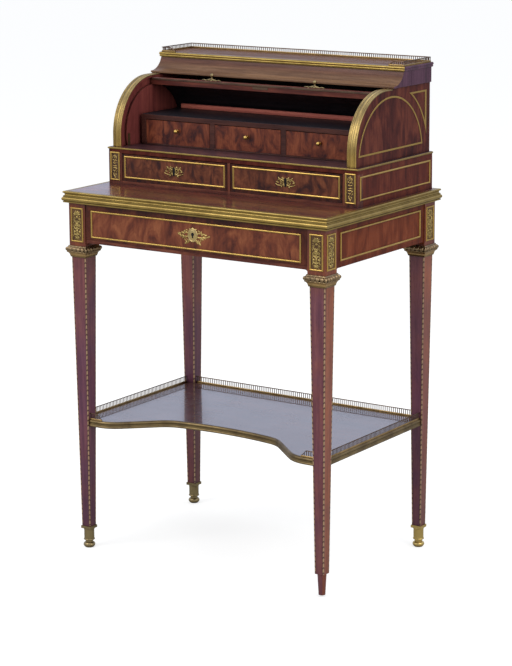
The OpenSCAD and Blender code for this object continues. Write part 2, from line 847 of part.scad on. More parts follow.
module gable_stringing()
    color(brass) both_sides() along_x(gable_x, gable_x + 0.5) stringing_outline();

// Brass plates behind the grooves' front ends on the gables' inner faces
keeper_y = arc_y - sqrt(pow(shell_ri - 0.5, 2) - pow(arc_rise, 2));
keeper_w = 7;
module keeper_plates()
    color(brass) both_sides() box(gable_ix - 1, gable_ix, keeper_y, keeper_y + keeper_w, step_z, arc_z);

// Top

module upper_back()
    color(dark_wood) box(-gable_ix, gable_ix, by - upper_back_t, by, step_z, gable_top);

module cavetto_outline()
    difference() {
        translate([lip_y, gable_top]) square([cavetto_flare + cavetto_back, cavetto_h]);
        translate([slab_y - sqrt(pow(cavetto_r, 2) - pow(12, 2)), slab_z + 11]) circle(cavetto_r, $fn = 144);
    }

cavetto_y1 = lip_y + cavetto_flare + cavetto_back;
module top_frieze()
    color(mahogany) along_x(-band_x, band_x) cavetto_outline();

module frieze_box()
    color(mahogany) {
        both_sides() box(band_x - band_t, band_x, cavetto_y1, by, gable_top, slab_z);
        box(-band_x + band_t, band_x - band_t, by - band_t, by, gable_top, slab_z);
    }

// The top board, rebated round its edge for the lap of the moulding
module top_board()
    color(mahogany) {
        box(-band_x, band_x, slab_y, by, slab_z, slab_top - lap_t);
        box(-band_x + lap, band_x - lap, slab_y + lap, by - lap, slab_z, slab_top);
    }

module top_profile() {
    intersection() {
        union() {
            square([1.6, slab_t]);
            translate([0, slab_t - 3]) circle(3);
            translate([0, 2.4]) circle(2.4);
            translate([0, slab_t - 1]) square([2, 1]);
        }
        square([4, slab_t]);
    }
    translate([-lap, slab_t - lap_t]) square([lap + 1, lap_t]);
}

module top_moulding()
    color(brass) translate([0, (slab_y + by) / 2, slab_z])
        ring(2 * band_x, by - slab_y, 4, lap) top_profile();

module top_gallery() {
    gx = band_x - 2;
    gy0 = slab_y + 2;
    gy1 = by - 2;
    ret = 34;
    side_l = gy1 - gy0 - rail_w - 2 * seam;
    color(brass) translate([0, 0, slab_top]) {
        translate([0, gy1, 0]) gallery_strip(2 * gx + rail_w, top_gallery_h, top_pitch);
        both_sides() {
            translate([gx, (gy0 + gy1) / 2, 0]) rotate(90) gallery_strip(side_l, top_gallery_h, top_pitch);
            translate([gx - ret / 2 + rail_w / 2, gy0, 0]) gallery_strip(ret, top_gallery_h, top_pitch);
            translate([gx - ret + rail_w / 2, gy0, 0]) gallery_scroll(top_gallery_h);
        }
    }
}

// Inner drawer case

module case_shell()
    color(mahogany) {
        both_sides() {
            box(case_in, case_x, case_y, case_y1, step_z, case_z - case_top_t);
            box(inner_div / 2, inner_div / 2 + case_t, case_y, case_y1, step_z, case_z - case_top_t);
        }
        box(-case_x, case_x, case_y, case_y1, case_z - case_top_t, case_z);
        box(-case_x, case_x, case_y, case_y1, step_z, step_z + case_floor_t);
        box(-case_x, case_x, case_y1 - case_back_t, case_y1, step_z, case_z);
    }

module case_upstand()
    color(mahogany) box(-case_x + 14, case_x - 14, case_y1 - 8, case_y1, case_z, case_z + upstand_h);

// Frieze drawer

frieze_drawer_x = inner_x - slack;
frieze_face_y = -by + 1;
module frieze_drawer_front()
    color(mahogany) box(-frieze_drawer_x, frieze_drawer_x, frieze_face_y, frieze_face_y + front_t,
                        frieze_drawer_z, frieze_drawer_z + frieze_drawer_h);

module frieze_drawer_box()
    color(lining) drawer_box(-frieze_drawer_x + 1, frieze_drawer_x - 1, frieze_face_y + front_t,
                             frieze_drawer_y1, frieze_drawer_z, frieze_drawer_h - 10);

module frieze_drawer_frame()
    color(brass) on_front(0, frieze_face_y, (under_z - frame_down + rail_z + frame_up) / 2)
        strip_frame(2 * (inner_x - 14), under_z - frame_down - (rail_z + frame_up));

escutcheon_w = 82;
keyhole_z = (under_z + rail_z) / 2;
module frieze_drawer_escutcheon()
    color(brass) on_front(0, frieze_face_y, keyhole_z) escutcheon(escutcheon_w, 2.4);

module frieze_drawer_lock()
    color(brass) box(-22, 22, frieze_face_y + front_t, frieze_face_y + front_t + 6,
                     keyhole_z - 14, frieze_drawer_z + frieze_drawer_h - 10);

// Step drawers

module step_drawer()
    color(mahogany) {
        box(step_drawer_x0, step_drawer_x1, step_y, step_y + front_t,
            step_drawer_z, step_drawer_z + step_drawer_h);
        drawer_box(step_drawer_x0 + 1, step_drawer_x1 - 1, step_y + front_t + seam, step_drawer_y1,
                   step_drawer_z, step_drawer_h - 6);
    }

module step_brass() {
    mid_x = (step_drawer_x0 + step_drawer_x1) / 2;
    w = step_drawer_x1 - step_drawer_x0 - 9;
    mid_z = step_drawer_z + step_drawer_h / 2 + 1;
    color(brass) {
        on_front(mid_x, step_y, mid_z) strip_frame(w, step_drawer_h - 9);
        on_front(mid_x, step_y, mid_z) escutcheon(50, 1.6);
    }
}

module step_drawer_left() mirror([1, 0, 0]) step_drawer();
module step_drawer_right() step_drawer();
module step_brass_left() mirror([1, 0, 0]) step_brass();
module step_brass_right() step_brass();

// Inner drawers

inner_w = inner_div - 2 * 0.6;
inner_front_t = 10;
side_mid = inner_div + case_t;
module inner_drawer(mid)
    color(mahogany) {
        box(mid - inner_w / 2, mid + inner_w / 2, case_y, case_y + inner_front_t, inner_z, inner_z + inner_h);
        drawer_box(mid - inner_w / 2, mid + inner_w / 2, case_y + inner_front_t + seam, inner_y1,
                   inner_z, inner_h - 4);
    }

module knob(mid)
    color(brass) on_front(mid, case_y, inner_z + inner_h * 0.6) rotate_extrude() intersection() {
        union() {
            square([knob_d * 0.34, 1.2]);
            square([knob_d * 0.2, knob_d * 0.6]);
            translate([0, knob_d * 0.85]) circle(d = knob_d);
        }
        square([knob_d, 3 * knob_d]);
    }

module inner_drawer_left() inner_drawer(-side_mid);
module inner_drawer_centre() inner_drawer(0);
module inner_drawer_right() inner_drawer(side_mid);
module knob_left() knob(-side_mid);
module knob_centre() knob(0);
module knob_right() knob(side_mid);

// Cylinder

module cylinder_shell()
    color(mahogany) along_x(-shell_x, shell_x)
        sector(shell_ri, shell_ro, open_angle, open_angle + shell_sweep);

// Turns children about the cylinder's axis so that -Y points outward at the angle a
module at_angle(a)
    translate([0, arc_y, arc_z]) rotate([-a, 0, 0]) children();

module cylinder_brass()
    color(brass) at_angle(open_angle) {
        box(-gable_ix + 1.2, gable_ix - 1.2, -shell_ro + 0.3, -shell_ro + 4, -lip_t, 0);
        box(-18, 18, -shell_ro + 5, -shell_ro + 9.5, -1, 0);
    }

pull_angle = open_angle + 4.5;
module cylinder_pulls()
    color(brass) for (sx = [-1, 1]) at_angle(pull_angle) translate([sx * pull_span / 2, -shell_ro, 0])
        rotate([90, 0, 0]) {
            intersection() {
                union() {
                    linear_extrude(1.6) both_sides() leaf(24, 6);
                    cylinder(h = 2.4, r = 4);
                    cylinder(h = pull_h, r = 1.7);
                    translate([0, 0, pull_h * 0.5]) sphere(2.4);
                    translate([0, 0, pull_h]) sphere(3.4);
                }
                translate([-40, -40, 0]) cube([80, 80, 40]);
            }
        }

leg_front_left();
leg_front_right();
leg_rear_left();
leg_rear_right();
capitals();
sabots();
rail_left();
rail_right();
rail_back();
front_rail();
drawer_runners();
table_top();
table_moulding();
frieze_frames();
block_mounts();
shelf();
shelf_moulding();
shelf_gallery();
step_base();
step_side_left();
step_side_right();
step_posts();
step_partition();
step_back();
step_top();
step_line();
step_frames();
step_mounts();
gable_left();
gable_right();
arc_left();
arc_right();
gable_stringing();
keeper_plates();
upper_back();
top_frieze();
frieze_box();
top_board();
top_moulding();
top_gallery();
case_shell();
case_upstand();
frieze_drawer_front();
frieze_drawer_box();
frieze_drawer_frame();
frieze_drawer_escutcheon();
frieze_drawer_lock();
step_drawer_left();
step_brass_left();
step_drawer_right();
step_brass_right();
inner_drawer_left();
inner_drawer_centre();
inner_drawer_right();
knob_left();
knob_centre();
knob_right();
cylinder_shell();
cylinder_brass();
cylinder_pulls();
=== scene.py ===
import bmesh
import bpy
import json
import math
import numpy as np
from functools import partial
from mathutils import Matrix, Vector


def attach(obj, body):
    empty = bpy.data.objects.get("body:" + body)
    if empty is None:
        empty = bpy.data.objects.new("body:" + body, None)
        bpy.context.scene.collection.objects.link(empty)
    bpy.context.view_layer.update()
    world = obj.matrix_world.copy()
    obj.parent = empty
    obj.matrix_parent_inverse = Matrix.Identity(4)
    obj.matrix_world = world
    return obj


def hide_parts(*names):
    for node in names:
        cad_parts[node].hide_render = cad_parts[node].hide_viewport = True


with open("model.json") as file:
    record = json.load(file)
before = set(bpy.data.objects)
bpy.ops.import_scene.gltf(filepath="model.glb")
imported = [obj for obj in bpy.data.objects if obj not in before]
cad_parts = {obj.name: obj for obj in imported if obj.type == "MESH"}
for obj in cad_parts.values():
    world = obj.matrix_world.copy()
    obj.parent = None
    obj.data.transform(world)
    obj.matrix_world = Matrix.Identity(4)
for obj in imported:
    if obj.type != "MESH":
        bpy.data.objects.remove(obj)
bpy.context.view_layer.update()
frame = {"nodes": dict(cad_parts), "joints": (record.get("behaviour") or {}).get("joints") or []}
nodes = frame["nodes"]
scene = bpy.context.scene
MM = 0.001
WHITE = (1, 1, 1)


# Places read off the solids, in millimetres

def box_of(name):
    """Lowest and highest corner of a node of the solids."""
    points = np.array([v.co[:] for v in nodes[name].data.vertices]) / MM
    return points.min(0).round(2), points.max(0).round(2)


def middle(name, axis):
    """The middle of a node along one axis."""
    low, high = box_of(name)
    return (low["xyz".index(axis)] + high["xyz".index(axis)]) / 2


LEG_X = middle("leg_front_right", "x")
LEG_Y = -middle("leg_front_right", "y")
BLOCK_FRONT = box_of("leg_front_right")[0][1]
BLOCK_SIDE = box_of("leg_front_right")[1][0]
BLOCK_FRAME_Z = middle("frieze_frames", "z")
POST_FRAME_Z = middle("step_frames", "z")
CAPITAL_FOOT = box_of("capitals")[0][2]
CAPITAL_TOP = box_of("capitals")[1][2]
FRIEZE_FACE = box_of("frieze_drawer_front")[0][1]
FRIEZE_FRAME = box_of("frieze_drawer_frame")
SIDE_FRAME = ((0, -146.5, BLOCK_FRAME_Z - 27), (0, 146.5, BLOCK_FRAME_Z + 27))
STEP_FACE = box_of("step_drawer_right")[0][1]
STEP_FRAME = box_of("step_brass_right")
INNER_FACE = box_of("inner_drawer_right")[0][1]
CASE_TOP = box_of("case_shell")[1][2]
TURN_AXIS = next(joint["pos_m"] for joint in frame["joints"] if joint["name"] == "cylinder_turn")


# Node helpers for the materials

def new_mat(name):
    """An empty material with a principled shader on its output."""
    m = bpy.data.materials.new(name)
    m.use_nodes = True
    nt = m.node_tree
    nt.nodes.clear()
    out = nt.nodes.new("ShaderNodeOutputMaterial")
    b = nt.nodes.new("ShaderNodeBsdfPrincipled")
    nt.links.new(b.outputs[0], out.inputs[0])
    return m, nt, b


def tex_map(nt, scale, loc=(0, 0, 0)):
    """The object's own coordinates, in metres, stretched and moved."""
    tc = nt.nodes.new("ShaderNodeTexCoord")
    mp = nt.nodes.new("ShaderNodeMapping")
    mp.inputs["Scale"].default_value = scale
    mp.inputs["Location"].default_value = loc
    nt.links.new(tc.outputs["Object"], mp.inputs[0])
    return mp.outputs[0]


def noise(nt, vec, detail, rough=0.55, distort=0.0):
    n = nt.nodes.new("ShaderNodeTexNoise")
    n.inputs["Scale"].default_value = 1.0
    n.inputs["Detail"].default_value = detail
    n.inputs["Roughness"].default_value = rough
    n.inputs["Distortion"].default_value = distort
    nt.links.new(vec, n.inputs["Vector"])
    return n.outputs[0]


def ramp(nt, fac, stops):
    """A colour for each value, from (place, colour) pairs."""
    r = nt.nodes.new("ShaderNodeValToRGB")
    e = r.color_ramp.elements
    while len(e) < len(stops):
        e.new(0.5)
    for i, (p, c) in enumerate(stops):
        e[i].position = p
        e[i].color = (*c, 1)
    nt.links.new(fac, r.inputs[0])
    return r.outputs[0]


def math_node(op, nt, a, b=None, c=None):
    n = nt.nodes.new("ShaderNodeMath")
    n.operation = op
    for i, v in enumerate((a, b, c)):
        if v is None:
            continue
        if isinstance(v, (int, float)):
            n.inputs[i].default_value = v
        else:
            nt.links.new(v, n.inputs[i])
    return n.outputs[0]


times = partial(math_node, "MULTIPLY")
times_plus = partial(math_node, "MULTIPLY_ADD")
minus = partial(math_node, "SUBTRACT")
lesser = partial(math_node, "MINIMUM")
size_of = partial(math_node, "ABSOLUTE")
fraction = partial(math_node, "FRACT")


def mix_col(nt, fac, a, b, mode="MIX"):
    n = nt.nodes.new("ShaderNodeMix")
    n.data_type = "RGBA"
    n.blend_type = mode
    factor_in, a_in, b_in = 0, 6, 7
    for s, v in ((factor_in, fac), (a_in, a), (b_in, b)):
        if isinstance(v, (int, float)):
            n.inputs[s].default_value = v
        elif isinstance(v, tuple):
            n.inputs[s].default_value = (*v, 1)
        else:
            nt.links.new(v, n.inputs[s])
    return n.outputs[2]


def tinted(nt, col, tint, amount=1.0):
    """A colour multiplied by a tint."""
    return mix_col(nt, amount, col, tint, "MULTIPLY")


def bump(nt, b, height, strength, distance):
    n = nt.nodes.new("ShaderNodeBump")
    n.inputs["Strength"].default_value = strength
    n.inputs["Distance"].default_value = distance
    nt.links.new(height, n.inputs["Height"])
    nt.links.new(n.outputs[0], b.inputs["Normal"])


def coords(nt):
    """The object's own x, y and z, in metres."""
    tc = nt.nodes.new("ShaderNodeTexCoord")
    sp = nt.nodes.new("ShaderNodeSeparateXYZ")
    nt.links.new(tc.outputs["Object"], sp.inputs[0])
    return sp.outputs[0], sp.outputs[1], sp.outputs[2]


def over(nt, value, edge, soft):
    """0 below edge and 1 above it, over a soft step."""
    n = nt.nodes.new("ShaderNodeMapRange")
    n.inputs[1].default_value = edge - soft / 2
    n.inputs[2].default_value = edge + soft / 2
    nt.links.new(value, n.inputs[0])
    return n.outputs[0]


def corner_shade_and_soiling(nt, col, amount, distance, darkest, low, high):
    """Painted shade in the corners, also standing for soiling: the colour darkens where ambient occlusion
    finds other surfaces close by.
    """
    ao = nt.nodes.new("ShaderNodeAmbientOcclusion")
    ao.samples = 4
    ao.inputs["Distance"].default_value = distance
    corner_shade = ramp(nt, ao.outputs["AO"], [(low, darkest), (high, WHITE)])
    return tinted(nt, col, corner_shade, amount)


def along(axis, lengthwise, across):
    """A texture scale that stretches the pattern along one axis."""
    return tuple(lengthwise if a == axis else across for a in "xyz")


# Woods

def wood_colour(nt, axis, tones, seed, figure, length, across):
    """Figure, streaks and clouds mixed to one value, coloured by three tones, with dark pores."""
    off = (seed * 1.37, seed * 0.71, seed * 2.13)
    flame = tex_map(nt, along(axis, length, across), off)
    fig = noise(nt, flame, detail=5.0, rough=0.6, distort=1.1)
    streak = noise(nt, tex_map(nt, along(axis, 5, 150), off), detail=6.0, rough=0.62, distort=0.35)
    pore = noise(nt, tex_map(nt, along(axis, 60, 1500), off), detail=3.0, rough=0.6)
    cloud = noise(nt, tex_map(nt, (7, 7, 7), off), detail=2.0, rough=0.5)
    v = times(nt, fig, figure)
    v = times_plus(nt, streak, 0.70 - 0.6 * figure, v)
    v = times_plus(nt, cloud, 0.30 - 0.4 * figure, v)
    col = ramp(nt, v, [(0.36, tones[0]), (0.49, tones[1]), (0.62, tones[2])])
    pores = ramp(nt, pore, [(0.36, (0.55, 0.5, 0.48)), (0.47, WHITE)])
    return tinted(nt, col, pores, 0.7), streak, pore, off


def polish(nt, b, streak, pore, off, rough, spec, coat, coat_rough):
    """French polish with smears in its gloss, and a faint relief of the grain."""
    smear = noise(nt, tex_map(nt, (14, 14, 14), off), detail=4.0, rough=0.6, distort=0.4)
    smear_depth = 0.22
    gloss = times_plus(nt, smear, smear_depth, rough - smear_depth / 2)
    nt.links.new(gloss, b.inputs["Roughness"])
    b.inputs["Specular IOR Level"].default_value = spec
    b.inputs["Coat Weight"].default_value = coat
    b.inputs["Coat Roughness"].default_value = coat_rough
    grain = times_plus(nt, pore, 0.5, times(nt, streak, 0.5))
    bump(nt, b, grain, strength=0.14, distance=0.0006)


def wood(name, axis, tones, seed=0.0, figure=0.5, length=10, across=34, rough=0.36,
         spec=0.2, coat=0.05, coat_rough=0.1, paint_over=None):
    """A polished wood whose grain runs along an axis; a function given to paint over it adds banding,
    stringing and painted shade on some woods.
    """
    m, nt, b = new_mat(name)
    col, streak, pore, off = wood_colour(nt, axis, tones, seed, figure, length, across)
    if paint_over:
        col = paint_over(nt, col)
    # Painted shade in the corners and in the gaps between parts.
    col = corner_shade_and_soiling(nt, col, amount=0.75, distance=0.010, darkest=(0.16, 0.12, 0.12), low=0.35, high=0.8)
    nt.links.new(col, b.inputs["Base Color"])
    polish(nt, b, streak, pore, off, rough, spec, coat, coat_rough)
    return m


def clouded_and_shaded(nt, col):
    """Long patches where the polish has turned more red or more violet; painted shade makes the legs darker
    and more violet towards the feet, and they turn darker and yellower just under the capitals.
    """
    patch = noise(nt, tex_map(nt, (9, 9, 6)), detail=3.0, rough=0.6, distort=0.3)
    tint = ramp(nt, patch, [(0.36, (0.74, 0.74, 1.05)), (0.52, (1.0, 0.95, 0.92)),
                            (0.64, (1.25, 1.15, 0.82))])
    z = coords(nt)[2]
    # Painted shade by height: darker and more violet towards the feet.
    shade_by_height = ramp(nt, z, [(0.03, (0.66, 0.62, 0.72)), (0.26, (0.95, 0.92, 0.98)), (0.58, WHITE),
                        (CAPITAL_TOP * MM, (0.86, 0.84, 0.56))])
    return tinted(nt, tinted(nt, col, tint), shade_by_height)


def hollow_shade(nt, col):
    """The hollow frieze, with painted shade: darker and more red above, paler and greyer towards its lower
    lip.
    """
    z = coords(nt)[2]
    turn_z = 0.9715
    shaded_above = tinted(nt, col, (0.78, 0.56, 0.62))
    return mix_col(nt, over(nt, z, turn_z, 0.010), col, shaded_above)


def under(nt, value, edge, soft):
    """1 below edge and 0 above it, over a soft step."""
    return minus(nt, 1.0, over(nt, value, edge, soft))


def leg_inset(nt):
    """How far a point on a leg lies in from the nearer corner edge, and its height."""
    x, y, z = coords(nt)
    floor_half, taper = 0.00942, 0.01251
    dx = size_of(nt, minus(nt, size_of(nt, x), LEG_X * MM))
    dy = size_of(nt, minus(nt, size_of(nt, y), LEG_Y * MM))
    half = times_plus(nt, z, taper, floor_half)
    return minus(nt, half, lesser(nt, dx, dy)), z


def rope_stringing(nt, col):
    """Lines of light lozenges let in along the four corners of each tapered leg."""
    line_in, rim_in = 0.0021, 0.0028
    shoulder_z, neck_z = 0.0475, (CAPITAL_FOOT - 1.5) * MM
    lozenges_per_metre, slant = 95.2, 120.0
    inset, z = leg_inset(nt)
    line = under(nt, inset, line_in, 0.0003)
    rim = under(nt, inset, rim_in, 0.0004)
    reach = times(nt, over(nt, z, shoulder_z, 0.001), under(nt, z, neck_z, 0.001))
    turn = times_plus(nt, z, lozenges_per_metre, times(nt, inset, slant))
    wave = fraction(nt, turn)
    light = minus(nt, over(nt, wave, 0.06, 0.1), over(nt, wave, 0.74, 0.1))
    # Patches in the polish, and painted shade by height.
    col = clouded_and_shaded(nt, col)
    block = tinted(nt, col, (1.25, 1.0, 0.52))
    col = mix_col(nt, over(nt, z, (CAPITAL_TOP - 1) * MM, 0.001), col, block)
    grain = noise(nt, tex_map(nt, (300, 300, 60)), detail=3.0)
    box = ramp(nt, grain, [(0.3, (0.26, 0.15, 0.08)), (0.7, (0.46, 0.30, 0.16))])
    rope = mix_col(nt, light, (0.070, 0.026, 0.022), box)
    col = mix_col(nt, times(nt, rim, reach), col, (0.03, 0.010, 0.012))
    return mix_col(nt, times(nt, line, reach), col, rope)


def border(box, axis, tone=(0.52, 0.42, 0.42)):
    """Darker crossbanding outside a framed field, and a darker rim inside it."""
    low, high = (corner["xyz".index(axis)] * MM for corner in box)
    bottom, top = (corner[2] * MM for corner in box)
    rim_width, rim_soft, rim_strength = 0.008, 0.02, 0.35

    def paint(nt, col):
        x, y, z = coords(nt)
        run = size_of(nt, x if axis == "x" else y)
        a = size_of(nt, minus(nt, run, (low + high) / 2))
        c = size_of(nt, minus(nt, z, (bottom + top) / 2))
        a = minus(nt, (high - low) / 2, a)
        c = minus(nt, (top - bottom) / 2, c)
        inset = lesser(nt, a, c)
        outside = under(nt, inset, 0.0, 0.0008)
        rim = times(nt, under(nt, inset, rim_width, rim_soft), rim_strength)
        col = tinted(nt, col, (0.55, 0.42, 0.40), rim)
        return tinted(nt, col, tone, outside)
    return paint


# Brasses

def brass(name, bright, deep, rough=0.34, patina=0.7, shade_and_soiling=0.95, reach=0.004, tint=None):
    """Gilt brass with dull blots, and painted shade with soiling in its corners; a tint function may colour
    it by height.
    """
    m, nt, b = new_mat(name)
    blot = noise(nt, tex_map(nt, (26, 26, 26)), detail=5.0, rough=0.62, distort=0.5)
    fine = noise(nt, tex_map(nt, (420, 420, 420)), detail=3.0, rough=0.6)
    dull = ramp(nt, blot, [(0.42, (0, 0, 0)), (0.66, WHITE)])
    col = mix_col(nt, times(nt, dull, patina), bright, deep)
    if tint:
        col = tint(nt, col)
    # Painted shade, with soiling, in the corners and hollows.
    col = corner_shade_and_soiling(nt, col, amount=shade_and_soiling, distance=reach, darkest=(0.07, 0.045, 0.03), low=0.3, high=0.8)
    nt.links.new(col, b.inputs["Base Color"])
    b.inputs["Metallic"].default_value = 1.0
    nt.links.new(times_plus(nt, blot, 0.3, rough - 0.12), b.inputs["Roughness"])
    bump(nt, b, times_plus(nt, fine, 0.4, blot), strength=0.22, distance=0.0004)
    return m


def feet_highlight(nt, col):
    """The arched mouldings get a painted highlight towards their feet, where their upright parts catch the
    light.
    """
    z = coords(nt)[2]
    foot_z, span = 0.8, 0.2
    up = times_plus(nt, z, 1 / span, -foot_z / span)
    tint = ramp(nt, up, [(0.07, (1.55, 1.35, 0.9)), (0.35, (1.15, 1.08, 0.95)), (0.75, (1.0, 0.98, 1.0))])
    return tinted(nt, col, tint)


def capital_tones(nt, col):
    """The leaves of a capital are duller than the hollow under them."""
    z = coords(nt)[2]
    leaves = over(nt, z, (CAPITAL_TOP - 12.5) * MM, 0.001)
    low = tinted(nt, col, (1.3, 1.2, 0.95))
    high = tinted(nt, col, (0.95, 0.93, 0.95))
    return mix_col(nt, leaves, low, high)


# The finishes

RED = ((0.045, 0.011, 0.008), (0.11, 0.027, 0.016), (0.2, 0.062, 0.032))
FLAME = ((0.072, 0.017, 0.011), (0.162, 0.041, 0.019), (0.262, 0.083, 0.035))
STEP = ((0.036, 0.011, 0.01), (0.112, 0.032, 0.016), (0.205, 0.066, 0.03))
INNER = ((0.038, 0.01, 0.01), (0.132, 0.031, 0.016), (0.23, 0.062, 0.028))
LEG = ((0.098, 0.027, 0.042), (0.162, 0.05, 0.063), (0.222, 0.079, 0.078))
LEG_LIT_SIDE = ((0.172, 0.048, 0.026), (0.25, 0.078, 0.042), (0.32, 0.11, 0.06))
SIDE = ((0.08, 0.013, 0.004), (0.145, 0.028, 0.008), (0.205, 0.05, 0.018))
STEP_SIDE = ((0.044, 0.008, 0.006), (0.086, 0.016, 0.01), (0.132, 0.03, 0.016))
GABLE = ((0.032, 0.008, 0.008), (0.07, 0.016, 0.013), (0.135, 0.036, 0.022))
SHELL = ((0.04, 0.01, 0.01), (0.1, 0.023, 0.016), (0.175, 0.046, 0.028))
INSIDE = ((0.1, 0.022, 0.02), (0.165, 0.038, 0.034), (0.23, 0.06, 0.046))
BLACK = ((0.006, 0.006, 0.008), (0.012, 0.011, 0.014), (0.022, 0.017, 0.019))
INTERIOR_SHADE = ((0.018, 0.013, 0.013), (0.034, 0.024, 0.023), (0.054, 0.038, 0.034))
TABLE = ((0.034, 0.006, 0.004), (0.084, 0.015, 0.008), (0.155, 0.036, 0.016))
TRAY = ((0.055, 0.018, 0.006), (0.102, 0.038, 0.012), (0.16, 0.068, 0.02))
LIT_UPSTAND = ((0.38, 0.1, 0.07), (0.56, 0.15, 0.11), (0.72, 0.22, 0.15))
HOLLOW = ((0.08, 0.036, 0.018), (0.14, 0.072, 0.038), (0.21, 0.115, 0.062))
SIDE_SHADE = ((0.03, 0.012, 0.022), (0.062, 0.022, 0.044), (0.1, 0.04, 0.07))
SHELF = ((0.02, 0.008, 0.006), (0.05, 0.018, 0.012), (0.09, 0.034, 0.02))
STEP_TOP_SHADE = ((0.016, 0.006, 0.008), (0.04, 0.014, 0.017), (0.075, 0.028, 0.03))
EDGE = ((0.028, 0.009, 0.008), (0.058, 0.018, 0.013), (0.095, 0.031, 0.021))
RECESS = ((0.03, 0.014, 0.01), (0.075, 0.04, 0.022), (0.13, 0.075, 0.038))
GROUND = ((0.05, 0.023, 0.011), (0.108, 0.054, 0.024), (0.17, 0.092, 0.04))
LINING = ((0.12, 0.065, 0.035), (0.21, 0.12, 0.065), (0.3, 0.19, 0.11))


def drawer_woods():
    """Flame veneers on the drawers' fronts, and their plain linings."""
    return {
        "frieze_front": wood("frieze_drawer_veneer", "z", FLAME, 4.0, figure=0.85, length=16, across=27,
            paint_over=border(FRIEZE_FRAME, "x")),
        "step_front": wood("step_drawer_veneer", "z", STEP, 6.0, figure=0.85, length=28, across=44,
            paint_over=border(STEP_FRAME, "x")),
        "inner": wood("inner_drawer_veneer", "z", INNER, 8.2, figure=0.85, length=24, across=42),
        "lining": wood("drawer_lining", "x", LINING, 12.0, figure=0.3, length=3, across=60, rough=0.6,
            coat=0.0),
    }


def upright_woods():
    """Legs, rails, sides, gables and posts, whose grain stands upright."""
    legs = {"figure": 0.35, "length": 4, "across": 26, "spec": 0.3, "coat": 0.15, "paint_over": rope_stringing}
    return {
        "leg": wood("mahogany_leg", "z", LEG, 1.3, **legs),
        # Painted light: a lighter, warmer copy of the leg wood for the faces turned to the light.
        "leg_side": wood("mahogany_leg_side", "z", LEG_LIT_SIDE, 1.9, **legs),
        "rail_side": wood("frieze_side_veneer", "z", SIDE, 5.0, figure=0.6, length=12, across=34,
            spec=0.12, coat=0.0, paint_over=border(SIDE_FRAME, "y", (0.8, 0.72, 0.72))),
        "side": wood("side_veneer", "z", STEP_SIDE, 5.7, figure=0.6, length=12, across=34, spec=0.1,
            coat=0.0),
        "gable": wood("gable_veneer", "z", GABLE, 2.1, figure=0.7, length=12, across=30, spec=0.08,
            coat=0.0),
        "inside": wood("gable_inner_face", "z", INSIDE, 10.4, figure=0.3, length=3, across=30),
        "vert": wood("mahogany_upright", "z", RED, 0.3, figure=0.6, length=9, across=42),
        # Painted shade: a darker, more violet mahogany for faces turned from the light.
        "purple": wood("mahogany_side_painted_shade", "z", SIDE_SHADE, 11.0, figure=0.4, length=6, across=40),
        "recess": wood("mount_recess", "z", RECESS, 15.0, figure=0.5, length=60, across=60),
        "ground": wood("mount_ground", "z", GROUND, 15.5, figure=0.5, length=60, across=60),
    }


def lengthwise_woods():
    """Boards, cylinder and case, whose grain runs from side to side."""
    return {
        # Painted light: this strip at the back of the case is far brighter than the case's mahogany, as if
        # lit.
        "upstand": wood("case_upstand", "x", LIT_UPSTAND, 10.9, figure=0.3, length=3, across=30),
        "long": wood("mahogany_lengthwise", "x", RED, 3.1, length=12, across=46),
        # The hollow frieze gets painted shade towards its top.
        "cavetto": wood("mahogany_cavetto", "x", HOLLOW, 7.7, length=6, across=60, rough=0.42,
            paint_over=hollow_shade),
        "shell": wood("cylinder_veneer", "x", SHELL, 12.6, length=10, across=40),
        "top": wood("mahogany_polished_top", "x", SHELF, 8.4, length=8, across=30, rough=0.25, spec=0.5,
            coat=0.85, coat_rough=0.04),
        # Painted shade: the top of the step box, darker and more violet in front of the case.
        "step_top": wood("mahogany_step_top_painted_shade", "x", STEP_TOP_SHADE, 8.9, length=8, across=30, rough=0.4,
            spec=0.3, coat=0.2, coat_rough=0.12),
        "table": wood("mahogany_table_top", "x", TABLE, 8.8, length=8, across=30, rough=0.34, spec=0.35,
            coat=0.6, coat_rough=0.17),
        "tray": wood("top_board", "x", TRAY, 16.0, length=8, across=60, rough=0.4, spec=0.05, coat=0.07,
            coat_rough=0.02),
        # Painted shade: the back boards behind the case and the step box, made near black.
        "dark": wood("interior_painted_shade", "x", INTERIOR_SHADE, 9.0, figure=0.4, rough=0.5, spec=0.1, coat=0.0),
        # Painted shade: near black, for the top of the case and the inside of the cylinder, deep in shade,
        # and for the keyholes.
        "black_shade": wood("black_painted_shade", "x", BLACK, 9.9, figure=0.4, rough=0.4, spec=0.1, coat=0.0),
        "edge": wood("case_edges", "x", EDGE, 9.4, figure=0.4),
    }


